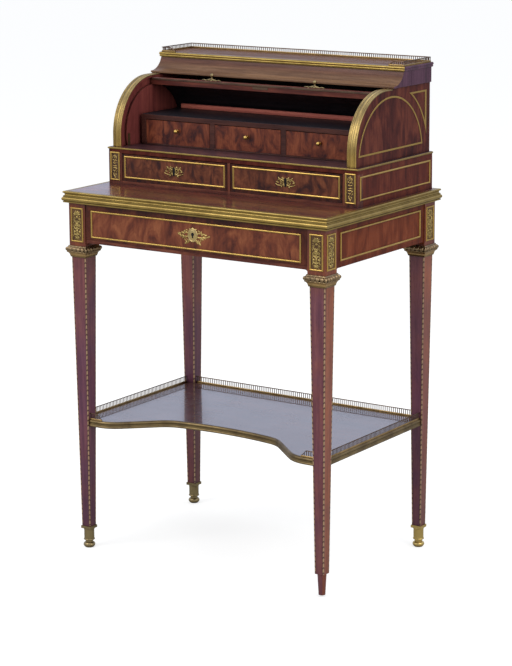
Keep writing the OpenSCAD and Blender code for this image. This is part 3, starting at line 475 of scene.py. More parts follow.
def plain_brasses():
    """Frames, mouldings, feet and galleries: a bright and a dull tone, how worn each is, and how much
    painted shade and soiling each takes in its corners.
    """
    return {
        "brass": brass("gilt_brass", (0.56, 0.36, 0.095), (0.33, 0.205, 0.055), rough=0.3, patina=0.5,
            shade_and_soiling=0.8, reach=0.003),
        "moulding": brass("brass_moulding", (0.38, 0.262, 0.074), (0.24, 0.160, 0.045)),
        "shelf_edge": brass("brass_shelf_edge", (0.24, 0.17, 0.075), (0.13, 0.09, 0.045), rough=0.4,
            patina=0.8),
        # The arcs carry a painted highlight at their feet.
        "arc": brass("brass_arcs", (0.37, 0.275, 0.105), (0.21, 0.155, 0.068), patina=0.8, shade_and_soiling=0.97,
            tint=feet_highlight),
        # Painted light: a brighter brass for the one foot that catches the light.
        "foot": brass("brass_foot_painted_light", (0.62, 0.45, 0.15), (0.38, 0.26, 0.08), rough=0.28, patina=0.5,
            shade_and_soiling=0.9),
        "dull": brass("brass_dull", (0.31, 0.235, 0.11), (0.15, 0.11, 0.055), rough=0.38, patina=0.8,
            shade_and_soiling=0.9),
        "gallery": brass("brass_gallery", (0.15, 0.095, 0.06), (0.08, 0.045, 0.035), rough=0.4,
            patina=0.8, shade_and_soiling=0.9, reach=0.003),
        "base": brass("brass_gallery_base", (0.38, 0.25, 0.10), (0.22, 0.14, 0.05), shade_and_soiling=0.8,
            reach=0.003),
    }


def cast_brasses():
    """Mounts in relief, with painted shade and soiling close in their hollows."""
    crisp = {"patina": 0.6, "shade_and_soiling": 0.97, "reach": 0.0022}
    return {
        "cast": brass("brass_cast", (0.56, 0.39, 0.13), (0.24, 0.16, 0.055), rough=0.32, **crisp),
        "cast_low": brass("brass_cast_worn", (0.44, 0.315, 0.105), (0.20, 0.135, 0.05), reach=0.0022),
        "shield": brass("brass_shield", (0.62, 0.46, 0.19), (0.34, 0.24, 0.09), rough=0.3, **crisp),
        "capital": brass("brass_capital", (0.34, 0.24, 0.12), (0.17, 0.12, 0.065), rough=0.36, shade_and_soiling=0.9,
            tint=capital_tones),
    }


BRASSES = {**plain_brasses(), **cast_brasses()}
FINISH = {**upright_woods(), **lengthwise_woods(), **drawer_woods(), **BRASSES}


# The looks of the solids, by the start of their names

WORN_BY = {
    "leg": "leg",
    "rail_side": "rail_left rail_right",
    "side": "step_side",
    "gable": "gable",
    "vert": "step_posts step_partition",
    # The frieze box is painted in this shade all over.
    "purple": "frieze_box",
    "long": "rail_back front_rail step_base case_shell",
    "upstand": "case_upstand",
    "cavetto": "top_frieze",
    "shell": "cylinder_shell",
    "top": "shelf",
    "step_top": "step_top",
    "table": "table_top",
    "tray": "top_board",
    "dark": "step_back upper_back",
    "frieze_front": "frieze_drawer_front",
    "step_front": "step_drawer",
    "inner": "inner_drawer",
    "lining": "drawer_runners frieze_drawer_box",
    "brass": "frieze_frames step_frames gable_stringing frieze_drawer_frame step_brass knob cylinder_pulls",
    "moulding": "table_moulding step_line top_moulding",
    "shelf_edge": "shelf_moulding",
    "arc": "arc",
    "dull": "sabots keeper_plates frieze_drawer_lock",
    "gallery": "shelf_gallery top_gallery cylinder_brass",
    "cast": "block_mounts step_mounts frieze_drawer_escutcheon",
    "capital": "capitals",
}
LOOK = {name: finish for finish, names in WORN_BY.items() for name in names.split()}


def look_of(name):
    """The look of the longest entry that the node's name starts with."""
    return LOOK[max((k for k in LOOK if name.startswith(k)), key=len)]


def facets(name, extra, choose):
    """Gives a node's polygons for which choose(centre, normal) is true a second finish."""
    mesh = nodes[name].data
    mesh.materials.append(FINISH[extra])
    last = len(mesh.materials) - 1
    for p in mesh.polygons:
        if choose(p.center, p.normal):
            p.material_index = last


def dress(name, o):
    """A node's main finish, and its edges eased: less on brass than on wood."""
    brass_edge, wood_edge = 0.00018, 0.0007
    key = look_of(name)
    o.data.materials.clear()
    o.data.materials.append(FINISH[key])
    weld = o.modifiers.new("weld", "WELD")
    weld.merge_threshold = 0.00001
    bevel = o.modifiers.new("bevel", "BEVEL")
    bevel.width = brass_edge if key in BRASSES else wood_edge
    bevel.segments = 2
    bevel.limit_method = "ANGLE"
    bevel.angle_limit = math.radians(32)
    o.modifiers.new("normals", "WEIGHTED_NORMAL")


def second_finishes():
    """Faces that look different from the rest of their node, several of them by painted light and shade;
    limits in metres.
    """
    behind_step_front = (STEP_FACE + 10.5) * MM
    behind_inner_front = (INNER_FACE + 9.8) * MM
    case_top = (CASE_TOP - 7) * MM
    neck = (CAPITAL_FOOT + 3) * MM
    towards_axis = -0.05
    axis_y, axis_z = TURN_AXIS[1:]
    facets("gable_left", "inside", lambda c, n: n.x > 0.5)
    facets("gable_right", "inside", lambda c, n: n.x < -0.5)
    facets("step_top", "side", lambda c, n: abs(n.z) < 0.5)
    # The top of the case under the cylinder is painted black as shade.
    facets("case_shell", "black_shade", lambda c, n: n.z > 0.5 and c.z > case_top)
    facets("case_shell", "edge", lambda c, n: n.y < -0.5)
    # The cylinder's inner face is painted black as shade.
    facets("cylinder_shell", "black_shade",
           lambda c, n: n.y * (c.y - axis_y) + n.z * (c.z - axis_z) < towards_axis)
    for side in ("left", "right"):
        facets("step_drawer_" + side, "lining", lambda c, n: c.y > behind_step_front)
    for side in ("left", "centre", "right"):
        facets("inner_drawer_" + side, "lining", lambda c, n: c.y > behind_inner_front)
    # Painted shade on the right-hand face of the top moulding and on both ends of the hollow frieze.
    facets("top_moulding", "purple", lambda c, n: n.x > 0.5)
    facets("top_frieze", "purple", lambda c, n: abs(n.x) > 0.5)
    for end in ("front", "rear"):
        # Painted light on the right-facing faces of the right legs, below the capitals.
        facets("leg_" + end + "_right", "leg_side", lambda c, n: n.x > 0.5 and c.z < neck)
    # The right rear foot gets the brighter brass as painted light.
    facets("sabots", "foot", lambda c, n: c.x > 0 and c.y > 0)


for name, o in nodes.items():
    dress(name, o)
second_finishes()


# Shapes made for the looks: points are a across, b along and c out of the surface

FACE = {
    "up": ((1, 0, 0), (0, 1, 0), (0, 0, 1)),
    "front": ((1, 0, 0), (0, 0, 1), (0, -1, 0)),
    "right": ((0, 1, 0), (0, 0, 1), (1, 0, 0)),
    "left": ((0, -1, 0), (0, 0, 1), (-1, 0, 0)),
}
BEDDED = 0.1


def placed(part, origin, face):
    """A part's points in millimetres, turned to a face and moved to its origin."""
    verts, faces = part
    return np.array(verts, float) @ FACE[face] + origin, faces


def build(name, parts, key, body, slot, smooth, *replaced):
    """One piece from parts in millimetres, riding a body, in place of the replaced nodes."""
    points = []
    polys = []
    for verts, faces in parts:
        polys += [[i + len(points) for i in f] for f in faces]
        points += [tuple(v) for v in np.asarray(verts) * MM]
    mesh = bpy.data.meshes.new(name)
    mesh.from_pydata(points, [], polys)
    mesh.materials.append(FINISH[key])
    solid = bmesh.new()
    solid.from_mesh(mesh)
    bmesh.ops.recalc_face_normals(solid, faces=solid.faces)
    solid.to_mesh(mesh)
    solid.free()
    for p in mesh.polygons:
        p.use_smooth = smooth
    o = bpy.data.objects.new(name, mesh)
    scene.collection.objects.link(o)
    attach(o, body)
    if replaced:
        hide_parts(*replaced)


def ridge(gx, gy, pts, r0, r1, leaf):
    """Height from 0 to 1 of a rounded ridge along a line of points, tapering or leaf-shaped."""
    full_r, least = 1.6, 0.45
    vein_r, vein_level = 0.3, 0.75
    pts = np.array(pts, float)
    seg = np.hypot(*(pts[1:] - pts[:-1]).T)
    run = np.concatenate([[0.0], np.cumsum(seg)]) / seg.sum()
    height = np.zeros_like(gx)
    for a, b, s, t in zip(pts[:-1], pts[1:], run[:-1], run[1:]):
        d = b - a
        f = np.clip(((gx - a[0]) * d[0] + (gy - a[1]) * d[1]) / (d @ d), 0, 1)
        dist = np.hypot(gx - a[0] - f * d[0], gy - a[1] - f * d[1])
        g = s + (t - s) * f
        r = r0 + (r1 - r0) * g
        if leaf:
            r = r * np.sqrt(np.clip(np.sin(np.pi * (0.06 + 0.9 * g)), 0.02, 1))
        dome = np.sqrt(np.clip(1 - (dist / r) ** 2, 0, 1))
        if leaf:
            dome = dome * (vein_level + (1 - vein_level) * np.clip(dist / (vein_r * r), 0, 1))
        height = np.maximum(height, dome * np.clip(r / full_r, least, 1))
    return height


def curve(p0, p1, p2, n=9):
    """Points on a bow from p0 to p2, pulled towards p1."""
    t = np.linspace(0, 1, n)[:, None]
    return (1 - t) ** 2 * np.array(p0) + 2 * t * (1 - t) * np.array(p1) + t * t * np.array(p2)


def scroll(x, y, r, start, turn, n=16):
    """Points on a spiral that winds in to x, y; angles in degrees."""
    t = np.linspace(0, 1, n)
    ang = np.radians(start + turn * t)
    rad = r * (1 - 0.82 * t)
    return np.stack([x + rad * np.cos(ang), y + rad * np.sin(ang)], 1)


def flipped(marks, sign):
    """The marks, or with sign -1 their left-hand image."""
    return [(np.array(p, float) * (sign, 1), r0, r1, leaf) for p, r0, r1, leaf in marks]


def rays(x, y, r0, r1, angles, width):
    """Leaves that spread from a point."""
    out = []
    for deg in angles:
        a = math.radians(deg)
        p0 = (x + r0 * math.cos(a), y + r0 * math.sin(a))
        p1 = (x + r1 * math.cos(a), y + r1 * math.sin(a))
        out.append(([p0, p1], width, width, True))
    return out


def relief(half_w, half_h, marks, peak, step=0.36):
    """Cast ornament as a closed height field: only what stands above the ground is kept."""
    across = np.arange(-half_w, half_w + step, step)
    upward = np.arange(-half_h, half_h + step, step)
    gx, gy = np.meshgrid(across, upward)
    z = np.zeros_like(gx)
    for pts, r0, r1, leaf in marks:
        z = np.maximum(z, ridge(gx, gy, pts, r0, r1, leaf))
    cols = len(across)
    keep = np.maximum.reduce([z[:-1, :-1], z[1:, :-1], z[:-1, 1:], z[1:, 1:]]) > 0
    r, c = np.nonzero(keep)
    quads = np.stack([r * cols + c, r * cols + c + 1, (r + 1) * cols + c + 1, (r + 1) * cols + c], 1)
    used, inverse = np.unique(quads, return_inverse=True)
    quads = inverse.reshape(quads.shape)
    top = np.stack([gx.ravel(), gy.ravel(), z.ravel() * peak], 1)[used]
    back = top * (1, 1, 0) - (0, 0, BEDDED)
    n = len(used)
    sides = set(map(tuple, np.concatenate([quads[:, [i, (i + 1) % 4]] for i in range(4)]).tolist()))
    rim = sorted(e for e in sides if e[::-1] not in sides)
    faces = quads.tolist() + (quads[:, ::-1] + n).tolist() + [(q, p, p + n, q + n) for p, q in rim]
    return np.concatenate([top, back]), faces


def band(lower, upper, n):
    """Quads between two rings of n points, given the first point of each."""
    return [(lower + q, lower + (q + 1) % n, upper + (q + 1) % n, upper + q) for q in range(n)]


def plate(half_w, bottom, top, thick):
    """A thin ground behind a mount, in short lengths."""
    lengths = 6
    corners = ((-half_w, -BEDDED), (half_w, -BEDDED), (half_w, thick), (-half_w, thick))
    verts = []
    for i in range(lengths + 1):
        y = bottom + (top - bottom) * i / lengths
        verts += [(x, y, z) for x, z in corners]
    last = 4 * lengths
    faces = [(0, 1, 2, 3), (last, last + 1, last + 2, last + 3)]
    for i in range(0, last, 4):
        faces += band(i, i + 4, 4)
    return verts, faces


def sweep(path, profile, lifts=None, closed=False):
    """A section (side, height) drawn along a level path, mitred at its corners."""
    p = np.array(path, float)
    n = len(p)
    before = p - np.roll(p, 1, 0)
    after = np.roll(p, -1, 0) - p
    if not closed:
        before[0] = after[0]
        after[-1] = before[-1]
    before /= np.linalg.norm(before, axis=1)[:, None]
    after /= np.linalg.norm(after, axis=1)[:, None]
    mean = before + after
    mean /= np.linalg.norm(mean, axis=1)[:, None]
    side = np.stack([mean[:, 1], -mean[:, 0]], 1) / (mean * after).sum(1)[:, None]
    lift = np.zeros(n) if lifts is None else lifts
    verts = []
    for i in range(n):
        verts += [(*(p[i] + side[i] * u), v + lift[i]) for u, v in profile]
    k = len(profile)
    faces = []
    spans = n if closed else n - 1
    for i in range(spans):
        faces += band(i * k, (i + 1) % n * k, k)
    if not closed:
        faces += [list(range(k))[::-1], [(n - 1) * k + q for q in range(k)]]
    return verts, faces


def half_round(width, thick, n=6):
    """A flat back and a rounded front, for strips."""
    a = np.linspace(0, math.pi, n)
    return [(width / 2 * math.cos(t), thick * math.sin(t)) for t in a]


def rod(width, low, high, n=8):
    """An oval section for rails."""
    a = np.linspace(0, 2 * math.pi, n, endpoint=False)
    return [(width / 2 * math.cos(t), (low + high) / 2 + (high - low) / 2 * math.sin(t)) for t in a]


# The galleries

BASE_STRIP = [(-1.05, 0.0), (1.05, 0.0), (1.05, 2.4), (0.6, 3.2), (-0.6, 3.2), (-1.05, 2.4)]
BAR_FOOT = 3.0
FREE_END = 3.8


def ogee(t):
    """From 0 at the end to 1 at full height, in an S."""
    t = min(t, 1.0)
    return t * t * (3 - 2 * t)


def rail_height(s, total, height, free, fall):
    """The rail's height at a place along its run: it falls away over a length at each free end."""
    to_ends = [d for d, is_free in zip((s, total - s), free) if is_free]
    return min([height] + [FREE_END + (height - FREE_END) * ogee(d / fall) for d in to_ends])


def rail_places(corners, total, free, fall):
    """Places along a run where its rail has a point: the corners, and close together where it falls."""
    close = np.linspace(0, fall, 11)
    places = set(corners)
    if free[0]:
        places |= set(close)
    if free[1]:
        places |= set(total - close)
    places = sorted(s for s in places if 0 <= s <= total)
    return [s for i, s in enumerate(places) if i == 0 or s - places[i - 1] > 0.5]


def bar(place, ahead, top):
    """One upright, square to the run, from inside the base strip to inside the rail."""
    half_w, half_d = 0.7, 0.45
    aside = np.array([ahead[1], -ahead[0]])
    signs = ((-1, -1), (1, -1), (1, 1), (-1, 1))
    corners = [place + ahead * half_w * e + aside * half_d * f for e, f in signs]
    verts = [(*c, BAR_FOOT) for c in corners] + [(*c, top) for c in corners]
    return verts, [(0, 1, 5, 4), (1, 2, 6, 5), (2, 3, 7, 6), (3, 0, 4, 7), (3, 2, 1, 0), (4, 5, 6, 7)]


def gallery(path, height, free, fall):
    """A base strip, and a top rail on upright bars."""
    pitch, rail_width, rail_thick, into_rail = 4.82, 2.1, 2.0, 0.8
    p = np.array(path, float)
    seg = np.hypot(*(p[1:] - p[:-1]).T)
    total = seg.sum()
    starts = np.concatenate([[0.0], np.cumsum(seg)])

    def at(s):
        i = min(int(np.searchsorted(starts, s, "right")) - 1, len(seg) - 1)
        return p[i] + (p[i + 1] - p[i]) * (s - starts[i]) / seg[i], (p[i + 1] - p[i]) / seg[i]

    places = rail_places(starts.tolist(), total, free, fall)
    drops = [rail_height(s, total, height, free, fall) - height for s in places]
    rail = rod(rail_width, height - rail_thick, height)
    parts = [sweep([tuple(at(s)[0]) for s in places], rail, drops)]
    count = int(total / pitch)
    for k in range(count):
        s = (k + 0.5) * total / count
        parts.append(bar(*at(s), rail_height(s, total, height, free, fall) - into_rail))
    return sweep(path, BASE_STRIP), parts


def build_gallery(node, runs, height, fall):
    """Rails and base strips of a gallery's runs, each with the ends at which it is free."""
    base = []
    rails = []
    foot = (0, 0, box_of(node)[0][2])
    for path, free in runs:
        strip, railing = gallery(path, height, free, fall)
        base.append(placed(strip, foot, "up"))
        rails += [placed(part, foot, "up") for part in railing]
    build("rails_of_" + node, rails, "gallery", "carcase", "brass", False, node)
    build("base_of_" + node, base, "base", "carcase", "brass", False)


def shelf_gallery():
    """Sides and back between the legs, and a short return in front of each front leg."""
    low, high = box_of("shelf_gallery")
    side, front, back = high[0] - 1.07, low[1] + 1.1, high[1] - 1.1
    to_leg, front_return = 13.4, 29.8
    y, x = LEG_Y - to_leg, LEG_X - to_leg
    runs = [([(-side, -y), (-side, y)], (0, 0)),
            ([(side, -y), (side, y)], (0, 0)),
            ([(-x, back), (x, back)], (0, 0)),
            ([(-x, front), (front_return - x, front)], (0, 1)),
            ([(x, front), (x - front_return, front)], (0, 1))]
    build_gallery("shelf_gallery", runs, height=high[2] - low[2], fall=13.0)


def top_gallery():
    """One run round the back and sides, with a short return at each end of the front."""
    low, high = box_of("top_gallery")
    x, front, back = high[0] - 1.2, low[1] + 1.2, high[1] - 1.1
    end = x - 33.9
    path = [(end, front), (x, front), (x, back), (-x, back), (-x, front), (-end, front)]
    build_gallery("top_gallery", [(path, (1, 1))], height=high[2] - low[2], fall=14.0)


# The cast mounts

def dot(x, y, r):
    """A round boss."""
    return [(x, y), (x + 0.1, y)], r, r, False


def block_marks():
    """A stem between three pairs of leafy scrolls, with bosses, and leaves at both ends."""
    half = [(curve((0, -24), (1.5, -10), (0, 4)), 1.2, 0.9, False)]
    for y in (-21, -9, 5):
        half.append((curve((0.5, y), (8.6, y + 1.5), (7.6, y + 7)), 1.2, 1.0, False))
        half.append((scroll(5.4, y + 6.6, 2.6, 10, 330), 1.0, 0.7, False))
        half.append(([(0.6, y + 3), (5.2, y + 2.2)], 1.5, 1.2, True))
        half.append(([(7.4, y + 1.5), (9.2, y - 3.4)], 1.2, 1.0, True))
    half += rays(0, 19, 1.5, 9.5, (20, 48, 74), 2.0)
    half += rays(0, -24, 0.5, 6.5, (-90, -48, -10), 1.8)
    half += [([(6.8, 17.2), (6.9, 17.3)], 1.5, 1.5, False), dot(5.6, -14.4, 1.5)]
    bosses = [dot(0, 15.4, 2.8), dot(0, 0.8, 3.0), dot(0, -12.6, 2.2)]
    return half + flipped(half, -1) + bosses + rays(0, 0.8, 2.2, 6.0, range(0, 360, 45), 1.5)


def post_marks():
    """A narrow S of leaves between two scrolls."""
    return [
        (scroll(-1.6, 17.6, 4.4, 200, -300), 1.0, 0.8, False),
        (curve((2.2, 20.6), (6.6, 14.5), (-3.8, 7.2)), 1.2, 0.8, False),
        (curve((-4.8, 6.6), (0.5, 4.0), (5.2, 8.4)), 1.2, 0.8, True),
        ([(0.2, 12.8), (5.6, 10.8)], 1.1, 0.9, True),
        ([(-5.0, 13.4), (-1.2, 11.2)], 1.1, 0.9, True),
        ([(-4.6, 0.4), (4.6, 0.4)], 1.5, 1.5, True),
        (curve((-4.6, -4.2), (0, -2.6), (4.8, -4.8)), 1.1, 0.9, False),
        (curve((4.8, -4.8), (1.0, -9.5), (-4.0, -15.0)), 1.2, 0.8, False),
        (scroll(0.8, -17.2, 4.6, 160, 300), 1.0, 0.8, False),
        ([(-5.2, -8.4), (0.2, -10.2)], 1.1, 0.9, True),
        ([(5.2, -9.0), (1.6, -14.2)], 1.1, 0.9, True),
        ([(0, 23.6), (0, 20.8)], 1.6, 1.2, True),
        ([(0, -24.0), (0, -21.4)], 1.6, 1.2, True),
    ]


def spray_marks():
    """Leafy sprays on both sides of the frieze drawer's shield, the right one longer."""
    marks = rays(0, 0, 10.5, 14.5, (58, 90, 122), 2.2) + rays(0, 0, 9.5, 14.0, (-60, -90, -120), 2.2)
    for sign, reach in ((-1, 34), (1, 39)):
        marks += flipped([
            (curve((7, 2), (18, 6), (reach - 6, 2)), 1.4, 0.8, False),
            (curve((7, -3), (18, -5), (reach, -1)), 1.5, 0.8, False),
            (scroll(15.0, -9.5, 5.2, 95, -320), 1.2, 0.8, False),
            (scroll(13.5, 7.6, 3.6, 250, 320), 1.1, 0.8, False),
            ([(8.5, -9), (12.0, -16.5)], 2.2, 1.8, True),
            ([(14, -14), (18.5, -18.5)], 2.3, 1.9, True),
            ([(12, -3.5), (16.5, -4.5)], 2.2, 1.9, True),
            ([(18, 4.0), (20.5, 8.0)], 1.9, 1.6, True),
            ([(20, 1.0), (26.5, 4.6)], 2.3, 1.9, True),
            ([(20, -3.5), (24.5, -8.0)], 2.1, 1.8, True),
            ([(23, -1.6), (30.0, -5.0)], 2.1, 1.7, True),
            ([(28, 0.0), (33.0, 2.8)], 1.9, 1.5, True),
            ([(reach - 3, -0.8), (reach + 1, 0.8)], 2.1, 1.8, True),
        ], sign)
    return marks


def oval_marks():
    """A domed oval shield with a rim."""
    half_w, half_h = 10.2, 12.4
    turn = np.linspace(0, 2 * math.pi, 28)
    rim = [(half_w * math.cos(t), half_h * math.sin(t)) for t in turn]
    return [([(0, -2.4), (0, 2.4)], 9.6, 9.6, False), (rim, 1.5, 1.5, False)]


def small_marks():
    """The step drawers' escutcheon: a pair of short sprays."""
    half = [
        (curve((3.6, -7), (5.6, 0), (3.6, 8)), 1.2, 1.2, False),
        (curve((4, 3), (12, 9.5), (19, 2)), 1.4, 0.9, False),
        (curve((4, -4), (12, -9), (22, -3.5)), 1.5, 0.9, False),
        (scroll(10.2, -1.0, 4.0, 60, 320), 1.2, 0.8, False),
        ([(13, 5), (16.5, 10.0)], 1.6, 1.3, True),
        ([(15.5, -1.0), (21.5, 0.8)], 1.7, 1.4, True),
        ([(8, -7), (10.5, -11.0)], 1.6, 1.3, True),
        ([(6, 6), (7.5, 10.5)], 1.5, 1.3, True),
    ]
    return half + flipped(half, -1)


def keyhole(round_r, length, top):
    """A round hole with a slot below it, as a thin dark sheet that stands for the hole and its shade."""
    depth, slot_half = 0.4, 0.45 * round_r
    a = np.radians(np.linspace(-60, 240, 15))
    rim = [(round_r * math.cos(t), round_r * math.sin(t)) for t in a]
    rim += [(-slot_half, -length), (slot_half, -length)]
    n = len(rim)
    verts = [(x, y, top) for x, y in rim] + [(x, y, top - depth) for x, y in rim]
    return verts, band(0, n, n) + [list(range(n)), list(range(n, 2 * n))]


def block_mounts():
    """A mount in each frame on the leg blocks: two in front, two on each side."""
    mount = relief(11.6, 31.2, block_marks(), peak=1.9)
    ground = plate(12, -31.6, 31.6, thick=0.12)
    spots = [((s * LEG_X, BLOCK_FRONT, BLOCK_FRAME_Z), "front") for s in (-1, 1)]
    for s, face in ((-1, "left"), (1, "right")):
        spots += [((s * BLOCK_SIDE, y, BLOCK_FRAME_Z), face) for y in (-LEG_Y, LEG_Y)]
    build("mounts_of_blocks", [placed(mount, *s) for s in spots], "cast_low", "carcase", "brass", True,
          "block_mounts")
    build("grounds_of_blocks", [placed(ground, *s) for s in spots], "ground", "carcase", "dark_wood", False)


def post_mounts():
    """A mount on the front of each corner post of the step box."""
    post_half = 15.5
    x = box_of("step_posts")[1][0] - post_half
    mount = relief(8.4, 25.8, post_marks(), peak=1.8, step=0.3)
    ground = plate(8.7, -26.2, 26.2, thick=0.12)
    spots = [((s * x, STEP_FACE, POST_FRAME_Z), "front") for s in (-1, 1)]
    build("mounts_of_posts", [placed(mount, *s) for s in spots], "cast", "carcase", "brass", True,
          "step_mounts")
    build("grounds_of_posts", [placed(ground, *s) for s in spots], "recess", "carcase", "dark_wood", False)


def frieze_escutcheon():
    """Sprays, an oval shield and a keyhole, a little above the middle of the drawer's frame."""
    z = middle("frieze_drawer_frame", "z") + 1.75
    spot = ((0, FRIEZE_FACE, z), "front")
    hole_spot = ((0.6, FRIEZE_FACE, z + 1.5), "front")
    sprays = relief(41, 20.6, spray_marks(), peak=1.3)
    shield = relief(12.0, 14.2, oval_marks(), peak=1.8)
    hole = keyhole(round_r=3.4, length=7.2, top=1.92)
    build("sprays_of_frieze", [placed(sprays, *spot)], "cast", "frieze_drawer", "brass", True,
          "frieze_drawer_escutcheon")
    build("shield_of_frieze", [placed(shield, *spot)], "shield", "frieze_drawer", "brass", True)
    # The keyhole is a thin sheet painted black as the hole's shade.
    build("keyhole_of_frieze", [placed(hole, *hole_spot)], "black_shade", "frieze_drawer", "dark_wood", False)


def step_brass(side, sign):
    """A rounded frame, sprays and a keyhole on one step drawer."""
    strip_w, strip_thick = 3.8, 1.3
    low, high = STEP_FRAME
    x, z = (low[0] + high[0]) / 2, (low[2] + high[2]) / 2
    w, h = (high[0] - low[0] - strip_w) / 2, (high[2] - low[2] - strip_w) / 2
    spot = ((sign * x, STEP_FACE, z), "front")
    ring = [(-w, -h), (w, -h), (w, h), (-w, h)]
    frame_strip = sweep(ring, half_round(strip_w, strip_thick), closed=True)
    sprays = relief(24.2, 12.6, small_marks(), peak=1.75)
    hole = plate(2.6, -8.0, 8.5, thick=0.3)
    body = "step_drawer_" + side + "_body"
    build("frame_of_step_" + side, [placed(frame_strip, *spot)], "brass", body, "brass", False,
          "step_brass_" + side)
    build("sprays_of_step_" + side, [placed(sprays, *spot)], "cast_low", body, "brass", True)
    # The keyhole is a thin sheet painted black as the hole's shade.
    build("keyhole_of_step_" + side, [placed(hole, *spot)], "black_shade", body, "dark_wood", False)


def lathe(profile, n=20):
    """A turned shape round the c axis from (radius, height) pairs."""
    a = np.linspace(0, 2 * math.pi, n, endpoint=False)
    verts = [(r * math.cos(t), r * math.sin(t), h) for r, h in profile for t in a]
    faces = []
    last = (len(profile) - 1) * n
    for ring in range(0, last, n):
        faces += band(ring, ring + n, n)
    return verts, faces + [list(range(n)), list(range(last, last + n))]


def pulls():
    """A ball on a turned stem, with thin curling leaves along the cylinder's lip on both sides."""
    low, high = box_of("cylinder_pulls")
    wing_len, lip_middle, lip_front, lip_top = 24, 39.75, 37.4, low[2]
    x = high[0] - wing_len
    ball_r, ball_z = 3.95, 11.5
    turns = np.linspace(0.42, math.pi - 0.01, 12)
    ball = [(ball_r * math.sin(t), ball_z - ball_r * math.cos(t)) for t in turns]
    turned = lathe([(3.9, 0.1), (3.9, 1.1), (2.3, 2.9), (1.5, 5.3), (1.5, 7.3)] + ball)
    wing = [(curve((1, 3.8), (9, 2.6), (14, 0.4)), 1.2, 0.8, False),
            (curve((12, 0.6), (18, 3.4), (23, 0.8)), 1.0, 0.7, False),
            ([(2, 2.2), (9.5, 0.5)], 1.4, 1.0, True)]
    spread = relief(wing_len, 5.4, wing + flipped(wing, -1), peak=1.6, step=0.3)
    parts = []
    for s in (-1, 1):
        parts.append(placed(turned, (s * x, lip_middle, lip_top), "up"))
        parts.append(placed(spread, (s * x, lip_front, lip_top), "front"))
    build("pulls_of_cylinder", parts, "dull", "cylinder", "brass", True, "cylinder_pulls")


# The capitals

LEAF_FOOT = CAPITAL_TOP - 11.5
LEAF_BROAD = CAPITAL_TOP - 8.5
LEAF_IN = 22.2
HOLLOW_FOOT = CAPITAL_FOOT + 2.6
HOLLOW_TOP = CAPITAL_FOOT + 10.5
FILLET_OUT = 24.4


def capital_section():
    """Half-width and height round a capital's section: abacus, torus, hollow, fillet, inner wall."""
    wall, neck, abacus = 17.0, 19.0, 22.0
    torus_r, torus_u, torus_z = 4.6, 22.4, CAPITAL_TOP - 7
    hollow_r, hollow_u = 8.0, 27.6
    sweep_out = np.linspace(0.05, 2.55, 13)
    sweep_in = np.linspace(1.15, 0.0, 8)
    top = [(abacus, CAPITAL_TOP), (abacus, CAPITAL_TOP - 2.3)]
    torus = [(torus_u + torus_r * math.sin(t), torus_z + torus_r * math.cos(t)) for t in sweep_out]
    fillet = [(FILLET_OUT, CAPITAL_TOP - 11.6), (FILLET_OUT, CAPITAL_TOP - 13.1)]
    hollow = [(hollow_u - hollow_r * math.cos(t), HOLLOW_FOOT + hollow_r * math.sin(t)) for t in sweep_in]
    foot = [(neck, HOLLOW_FOOT), (neck, CAPITAL_FOOT), (wall, CAPITAL_FOOT), (wall, CAPITAL_TOP)]
    return top + torus + fillet + hollow + foot


def leaf_cut(u, z, f):
    """How deep the gaps, tips and veins of the leaves are at a place along one side."""
    leaves, lobes = 5, 14
    gap, vein, vein_width, lobe_cut = 3.6, 1.0, 0.16, 0.5
    if z > LEAF_FOOT and u > LEAF_IN:
        q = 2 * ((leaves * f + 0.5) % 1) - 1
        narrow = 1.0 - 0.17 * max(0.0, LEAF_BROAD - z)
        lobe = math.sqrt(max(0.0, 1 - (q / narrow) ** 2))
        swell = min(1.0, (u - LEAF_IN) / 1.6)
        return swell * (gap * (1 - lobe) + vein * math.exp(-(q / vein_width) ** 2))
    if HOLLOW_FOOT + 0.1 < z < HOLLOW_TOP and u < FILLET_OUT + 0.1:
        q = 2 * ((lobes * f + 0.5) % 1) - 1
        return lobe_cut * (1 - math.sqrt(max(0.0, 1 - q * q)))
    return 0.0


def capital_ring(per_side):
    """Places round a square: how far along its side each is, and its direction from the middle."""
    ring = []
    for s in range(4 * per_side):
        f = (s % per_side) / per_side
        t = 2 * f - 1
        ring.append((f, [(t, -1), (1, t), (-t, 1), (-1, -t)][s // per_side]))
    return ring


def capitals():
    """The section drawn round the square neck of each leg, with leaves cut into its torus."""
    section = capital_section()
    ring = capital_ring(per_side=60)
    count = len(ring)
    verts = []
    for u, z in section:
        for f, (dx, dy) in ring:
            w = u - leaf_cut(u, z, f)
            verts.append((dx * w, dy * w, z))
    faces = []
    for i in range(len(section)):
        faces += band(i * count, (i + 1) % len(section) * count, count)
    spots = [(x, y, 0) for x in (-LEG_X, LEG_X) for y in (-LEG_Y, LEG_Y)]
    build("cast_capitals", [placed((verts, faces), spot, "up") for spot in spots], "capital", "carcase",
          "brass", True, "capitals")


capitals()
shelf_gallery()
top_gallery()
pulls()
block_mounts()
post_mounts()
frieze_escutcheon()
step_brass("left", -1)
step_brass("right", 1)


# Camera

